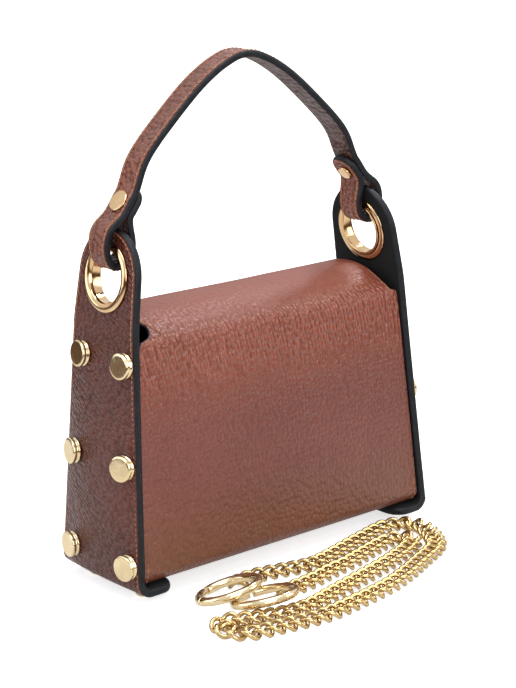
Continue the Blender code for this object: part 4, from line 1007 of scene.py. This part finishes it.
def back_flap_grid():
    """Outer face from just short of the back fold, down the hanging end to its round corners."""
    over = flap_line()
    length = length_of(over)
    start = over[-4:]
    lead = length - length_of(start)
    straight = DROP_LOW + DROP_CORNER
    drop = [(panel_half(h) + DROP_OUT, h) for h in between(BACK_FOLD_HEIGHT, straight, 10)[1:]]
    grid = []
    for (y, height), distance in walk(start + drop, DROP_PITCH):
        half = flap_half(min(length, lead + distance), length, 1) - WRAP_LIP
        soft = min(1, distance / (10 * MM))
        grid.append([hanging_point(half, t, y, height, soft * DROP_SOFT) for t in SHARES])
    for turn in between(0, math.radians(86), 12)[1:]:
        half = FLAP_BACK_HALF - WRAP_LIP - DROP_CORNER * (1 - math.cos(turn))
        height = straight - DROP_CORNER * math.sin(turn)
        y = panel_half(height) + DROP_OUT
        grid.append([hanging_point(half, t, y, height, DROP_SOFT) for t in SHARES])
    return grid


def back_wall_grid(inset, floor, top, front_start, spare):
    """Outer face of a layer under the base and up the back."""
    corner, corner_top = base_corner(inset, floor)
    line = front_start + [(-WRAP_START, floor), (0, floor), (WRAP_START, floor)] + corner
    for height in between(corner_top, top, 8)[1:]:
        line.append((wall_y(height, inset), height))
    grid = []
    for (y, height), _ in walk(line, WALL_PITCH):
        half = room(y, height) - spare
        row = []
        for t in reversed(SHARES[::2]):
            sag = (1 - t * t) * face_soft(half * t, y, height) * 0.5 * held(height / (20 * MM) - 1)
            row.append(Vector((half * t, y + sag, height + FOOT)))
        grid.append(row)
    return grid


def stitched_edge(grid, inset, lift, keep):
    """Lines of (point, up) that run beside the grid's left and right edges, a distance in."""
    normals = normals_of(grid)
    lines = []
    for last, inner in ((0, 1), (-1, -2)):
        line = []
        for i, row in enumerate(grid):
            if keep(row[last]):
                inward = (row[inner] - row[last]).normalized()
                line.append((row[last] + inward * inset + normals[i][last] * lift, normals[i][last]))
        lines.append(line)
    return lines


def on_row(row, x):
    """The point of a row at a distance x from the middle."""
    for a, b in zip(row, row[1:]):
        if a.x <= x <= b.x:
            return a.lerp(b, (x - a.x) / (b.x - a.x))
    return row[0] if x < row[0].x else row[-1]


def seam_on(grid, marks, points, lift):
    """A line of (point, up) over a grid through (distance from the fold, x)."""
    normals = normals_of(grid)
    line = []
    for (near, x), (far, last) in zip(points, points[1:]):
        for k in range(8):
            share = k / 8
            distance, across = near + (far - near) * share, x + (last - x) * share
            i = max(n for n, mark in enumerate(marks[:-1]) if mark <= distance)
            low, high = on_row(grid[i], across), on_row(grid[i + 1], across)
            spot = low.lerp(high, (distance - marks[i]) / (marks[i + 1] - marks[i]))
            j = min(range(len(grid[i])), key=lambda n: abs(grid[i][n].x - across))
            line.append((spot + normals[i][j] * lift, normals[i][j]))
    return line


def wrapped(name, grid, thickness, free):
    return add(name, leather_slab(name, grid, thickness, WRAP_LIP, free), WRAP, EDGE, LINING)


def make_body():
    front, marks = front_grid()
    wrap = wrapped("wrap_front_and_flap", front, WALL_LEATHER, "lr")
    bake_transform(wrap)
    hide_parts("body_shell", "flap_top")
    hanging = wrapped("flap_hanging_end", back_flap_grid(), FLAP_LEATHER, "lre")
    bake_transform(hanging)
    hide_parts("flap_drop")
    base = back_wall_grid(WALL_INSET, PANEL_STACK + SEAT_GAP, WALL_TOP, [], WRAP_LIP)
    seat(wrapped("wrap_base_and_back", base, WALL_LEATHER, "lre"), "bag", "wrap_leather", "body_shell")

    def low_corner(point):
        return point.y < -28 * MM and CORNER_SEAM[0] < point.z < CORNER_SEAM[1]

    bites = []
    for side, _ in SIDES:
        points = [(distance * MM, side * half * MM) for distance, half in BITE_SEAM[side]]
        bites.append(seam_on(front, marks, points, BITE_STITCH_LIFT))
    corners = stitched_edge(front, WRAP_SEAM, STITCH_LIFT, low_corner)
    for name, lines, body in (("bite", bites, "flap"), ("corner", corners, "bag")):
        seat(row_of("wrap_stitches_" + name, lines, STITCH, STITCH_PITCH, THREAD), body, "wrap_leather")


def make_lining():
    inset = WALL_INSET + WALL_LEATHER + SEAT_GAP
    corner, top = base_corner(inset, LINING_FLOOR)
    front = [(-wall_y(height, inset), height) for height in between(LINING_TOP, top, 8)]
    front += [(-y, height) for y, height in corner[-2::-1]]
    grid = back_wall_grid(inset, LINING_FLOOR, LINING_TOP, front, LINING_MARGIN)
    mesh = leather_slab("body_lining_skin", grid, LINING_LEATHER, LINING_LIP)
    seat(add("body_lining_skin", mesh, LINING, LINING, LINING), "bag", "lining", "body_lining")


# Metal


def make_eyelets():
    for side, word in SIDES:
        place = panel_frame(0, EYELET_HEIGHT, side)
        for name, outline in (("eyelet_", EYELET_FLANGE), ("eyelet_washer_", EYELET_WASHER)):
            points = eased(outline + outline[:1], 0.5 * MM)
            thing = turned(name + "ring_" + word, points[:-1], 112, place, DEEP_GOLD)
            seat(thing, "bag", "gold", name + word)


def stud_places(side):
    """(y, height) of a panel's studs, two in each of three rows."""
    places = []
    for row in range(3):
        height = STUD_TOP_HEIGHT - row * STUD_ROW_DROP
        y = panel_half(height) - STUD_EDGE - row * STUD_EDGE_STEP
        places += [(side * STUD_SHIFT - y, height), (side * STUD_SHIFT + y, height)]
    return places


def make_studs():
    points = eased(STUD, 0.22 * MM, 3)
    for side, word in SIDES:
        for number, (y, height) in enumerate(stud_places(side), 1):
            thing = turned(f"stud_cap_{word}_{number}", points, 56, panel_frame(y, height, side), GOLD)
            seat(thing, "bag", "gold", f"stud_{word}_{number}")


def make_feet():
    points = eased(FOOT_CAP, 0.5 * MM)
    inward, apart = FOOT_PLACE
    for side, word in SIDES:
        for y, end in ((-apart, "front"), (apart, "back")):
            place = Matrix.Translation((side * (HALF_WIDTH - inward), y, 0))
            thing = turned(f"foot_cap_{word}_{end}", points, 40, place, GOLD)
            seat(thing, "bag", "gold", f"foot_{word}_{end}")


def make_snap():
    slope = (TAB_RADIUS - HALF_DEPTH) / EYELET_HEIGHT
    height = DROP_LOW + SNAP_RISE
    place = axis_frame((0, wall_y(height, WALL_INSET), height + FOOT), (0, 1, -slope))
    for name, outline, body in (("snap_stud", SNAP_STUD, "bag"), ("snap_socket", SNAP_SOCKET, "flap_end")):
        points = eased(outline, 0.25 * MM, 3)
        seat(turned(name + "_disc", points, 64, place, STEEL), body, "steel", name)


# The handle


def strap_point(run, up):
    return Vector((ARCH_HALF * run, 0, LOOP_LOW + (ARCH_TOP - LOOP_LOW) * up + FOOT))


def strap_path():
    half = smooth_path([strap_point(run, up) for run, up in STRAP], 5)
    return [Vector((-p.x, 0, p.z)) for p in reversed(half[1:])] + half


def strap_grid(inset):
    """The strap's outer face, short of its edges by an inset, with round tips and a slim waist."""
    path = strap_path()
    steps = [(b - a).length for a, b in zip(path, path[1:])]
    travelled = [sum(steps[:k]) for k in range(len(path))]
    length = travelled[-1]
    tip = STRAP_WIDTH / 2
    grid = []
    for point, distance in zip(path, travelled):
        from_tip = min(distance, length - distance)
        if from_tip < inset:
            continue
        along = held((from_tip - WAIST_START) / WAIST_LENGTH)
        waist = (STRAP_WIDTH - STRAP_WAIST) / 2 * math.sin(math.pi * along) ** 2
        reach = tip - inset
        into = max(0, 1 - (from_tip - inset) / reach) * 0.97
        width = reach * math.sqrt(1 - into**2) - waist
        grid.append([point + Vector((0, -width * t, 0)) for t in between(-1, 1, STRAP_COLUMNS)])
    return grid


def rivet_frame(side):
    point = mirror(strap_point(*RIVET_PLACE), side)
    return axis_frame(point, (side * math.cos(RIVET_TILT), 0, math.sin(RIVET_TILT)))


def make_handle():
    grid = strap_grid(STRAP_LIP)
    mesh = leather_slab("handle_strap", grid, STRAP_THICKNESS, STRAP_LIP)
    strap = add("handle_strap", mesh, STRAP_OUT, EDGE, STRAP_IN)
    seat(strap, "handle", "strap_leather", "handle_outer", "handle_inner")
    seam = edge_line(strap_grid(STRAP_SEAM), STRAP_STITCH_LIFT)
    seat(row_of("handle_stitches", [seam], STITCH, STITCH_PITCH, THREAD), "handle", "strap_leather")
    for side, word in SIDES:
        for name, outline in (("handle_rivet_", RIVET_HEAD), ("handle_rivet_cap_", RIVET_CAP)):
            points = eased(outline, 0.3 * MM, 3)
            thing = turned(name + "face_" + word, points, 48, rivet_frame(side), DEEP_GOLD)
            seat(thing, "handle", "gold", name + word)


# The chain strap and its rings


def link_item():
    """One curb link: an oval of round wire, twisted so that it passes its neighbours square."""
    bm = bmesh.new()
    long, wide = LINK_HALF
    points, count = [], 26
    for k in range(count):
        turn = 2 * math.pi * k / count
        lean = LINK_TWIST * math.cos(turn)
        out = wide * math.sin(turn)
        points.append(Vector((long * math.cos(turn), out * math.cos(lean), out * math.sin(lean))))
    ups = []
    for k in range(count):
        along = points[(k + 1) % count] - points[k - 1]
        ups.append((points[k].cross(along)).normalized())
    tube(bm, points, LINK_WIRE, 10, True, ups)
    return add("link", mesh_of(bm, "link", 70))


def ring_frame(number):
    """A ring's middle, with Z along its axis and X towards its pin."""
    (x, y), lean, turn = RINGS[number]
    normal = Vector(lean).normalized()
    height = RING_WIRE + RING_RADIUS * math.sqrt(1 - normal.z**2) + RING_CLEARANCE
    toward = Vector((math.cos(math.radians(turn)), math.sin(math.radians(turn)), 0))
    toward = (toward - normal * toward.dot(normal)).normalized()
    return Matrix.Translation((x * MM, y * MM, height)) @ Matrix(
        (toward, normal.cross(toward), normal)).transposed().to_4x4()


def make_rings():
    """Each ring: a body of round wire, and a gate that turns inward on a pin, whose solid shape is kept."""
    made = []
    for number in range(2):
        label = str(number + 1)
        at = ring_frame(number)
        axis = at.to_3x3() @ UP
        parts = (
            ("ring_wire_", "ring_body_", "chain_strap", RING_BODY_ARC, 110),
            ("ring_gate_wire_", "ring_gate_", "gate_" + label, RING_GATE_ARC, 26),
        )
        for name, node, body, arc, count in parts:
            turns = between(*arc, count)
            points = [at @ Vector((RING_RADIUS * math.cos(a), RING_RADIUS * math.sin(a), 0)) for a in turns]
            bm = bmesh.new()
            tube(bm, points, RING_WIRE, 24, ups=[axis] * len(points))
            wire = add(name + label, mesh_of(bm, name + label), GOLD)
            made.append(seat(wire, body, "gold", node + label))
        made.append(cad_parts["ring_pin_" + label])
    return made


def make_chain():
    """Twisted links along the folded run, with a ring at each end."""
    rings = make_rings()
    points = smooth_path([Vector((x * MM, y * MM, CHAIN_MIDDLE)) for x, y in CHAIN_ROUTE], 4)
    length = sum((b - a).length for a, b in zip(points, points[1:]))
    item = link_item()
    count = round(length / LINK_PITCH)
    chain = row_of("chain_links", [[(p, UP) for p in points]], item, length / count, CHAIN_GOLD)
    bpy.data.objects.remove(item)
    seat(chain, "chain_strap", "gold", "chain")


# Nodes whose solid shape is kept


def dress_solids():
    """Board, steel or gold on every node. The later pieces replace most of them."""
    for name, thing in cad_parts.items():
        kind = BOARD if name == "base_board" else STEEL if "nut" in name else GOLD
        thing.data.materials.clear()
        thing.data.materials.append(kind)


# Floor, light and camera


def make_floor():
    """A pale floor, white to the camera. Metal mirrors it pale near the bag and brown farther off."""
    bm = bmesh.new()
    bmesh.ops.create_grid(bm, x_segments=1, y_segments=1, size=6)
    floor = add("floor", mesh_of(bm, "floor"))
    material = bpy.data.materials.new("pale_floor")
    material.use_nodes = True
    net = Net(material.node_tree)
    shader = material.node_tree.nodes["Principled BSDF"]
    rays = net.add("ShaderNodeLightPath")
    spot = net.add("ShaderNodeTexCoord", output="Object")
    away = net.add("ShaderNodeVectorMath", {"operation": "LENGTH"}, {0: spot}, "Value")
    far = away.ramp(0.30, 0.90)
    camera, gloss = rays.out("Is Camera Ray"), rays.out("Is Glossy Ray")
    colour = net.blend(gloss * (0.25 + 0.75 * far), (0.86, 0.86, 0.86), (0.11, 0.055, 0.028))
    net.feed(shader.inputs["Base Color"], colour)
    shader.inputs["Roughness"].default_value = 0.9
    shader.inputs["Specular IOR Level"].default_value = 0.1
    shader.inputs["Emission Color"].default_value = (1, 1, 1, 1)
    net.feed(shader.inputs["Emission Strength"], camera * (0.68 + 0.32 * far) + gloss * (1 - far) * 0.25)
    floor.data.materials.append(material)


def make_world():
    """Even light, white where the camera sees it. Metal mirrors brown low down and white above."""
    world = bpy.data.worlds.new("studio")
    world.use_nodes = True
    bpy.context.scene.world = world
    net = Net(world.node_tree)
    back = world.node_tree.nodes["Background"]
    rays = net.add("ShaderNodeLightPath")
    seen = rays.out("Is Camera Ray").most(rays.out("Is Transmission Ray"))
    toward = net.add("ShaderNodeTexCoord", output="Generated")
    shine = 0.16 + 0.84 * net.add("ShaderNodeSeparateXYZ", None, {0: toward}, "Z").ramp(0.02, 0.24)
    gloss = rays.out("Is Glossy Ray")
    net.feed(back.inputs["Color"], net.blend(gloss * (1 - shine), (1, 1, 1), (0.75, 0.42, 0.24)))
    net.feed(back.inputs["Strength"], 0.42 + seen * 0.58 + gloss * (shine - 0.42))


def lamp(name, place, target, size, power, colour=(1, 1, 1)):
    data = bpy.data.lights.new(name, "AREA")
    data.shape, data.size, data.size_y = "RECTANGLE", size[0], size[1]
    data.energy, data.color = power, colour
    thing = bpy.data.objects.new(name, data)
    thing.location = place
    thing.rotation_euler = (Vector(place) - Vector(target)).to_track_quat("Z", "Y").to_euler()
    bpy.context.scene.collection.objects.link(thing)


def make_light():
    middle = (0, 0, 0.12)
    lamp("overhead_box", (-0.1, -0.15, 1.1), middle, (0.9, 0.7), 8)
    lamp("front_box", (-0.5, -1.2, 0.55), middle, (0.8, 0.8), 7)
    lamp("crest_box", (0.92, 0.24, 1.25), middle, (0.28, 0.28), 6.5)
    lamp("left_box", (-1.2, 0.35, 0.5), middle, (0.5, 0.9), 2.6)
    lamp("low_cool_box", (-1.2, 0.9, 0.3), middle, (0.5, 0.5), 2.0, (0.80, 0.90, 1.0))
    lamp("right_box", (0.9, -0.8, 0.5), middle, (0.5, 0.7), 3)


def make_camera():
    place = Vector((-0.6416, -0.8012, 0.3934))
    forward = (Vector((0.00855, 0, 0.11635)) - place).normalized()
    right = forward.cross(UP).normalized()
    up = right.cross(forward)
    roll = math.radians(-1.36)
    right, up = right * math.cos(roll) + up * math.sin(roll), up * math.cos(roll) - right * math.sin(roll)
    data = bpy.data.cameras.new("camera")
    data.lens, data.sensor_width = 99.607, 36
    camera = bpy.data.objects.new("camera", data)
    camera.matrix_world = Matrix.Translation(place) @ Matrix((right, up, -forward)).transposed().to_4x4()
    bpy.context.scene.collection.objects.link(camera)
    bpy.context.scene.camera = camera


bpy.context.scene.view_settings.view_transform = "Standard"
make_camera()
make_floor()
make_world()
make_light()
dress_solids()
make_chain()
make_side_panels()
make_body()
make_lining()
make_eyelets()
make_studs()
make_feet()
make_snap()
make_handle()
bpy.data.objects.remove(STITCH)
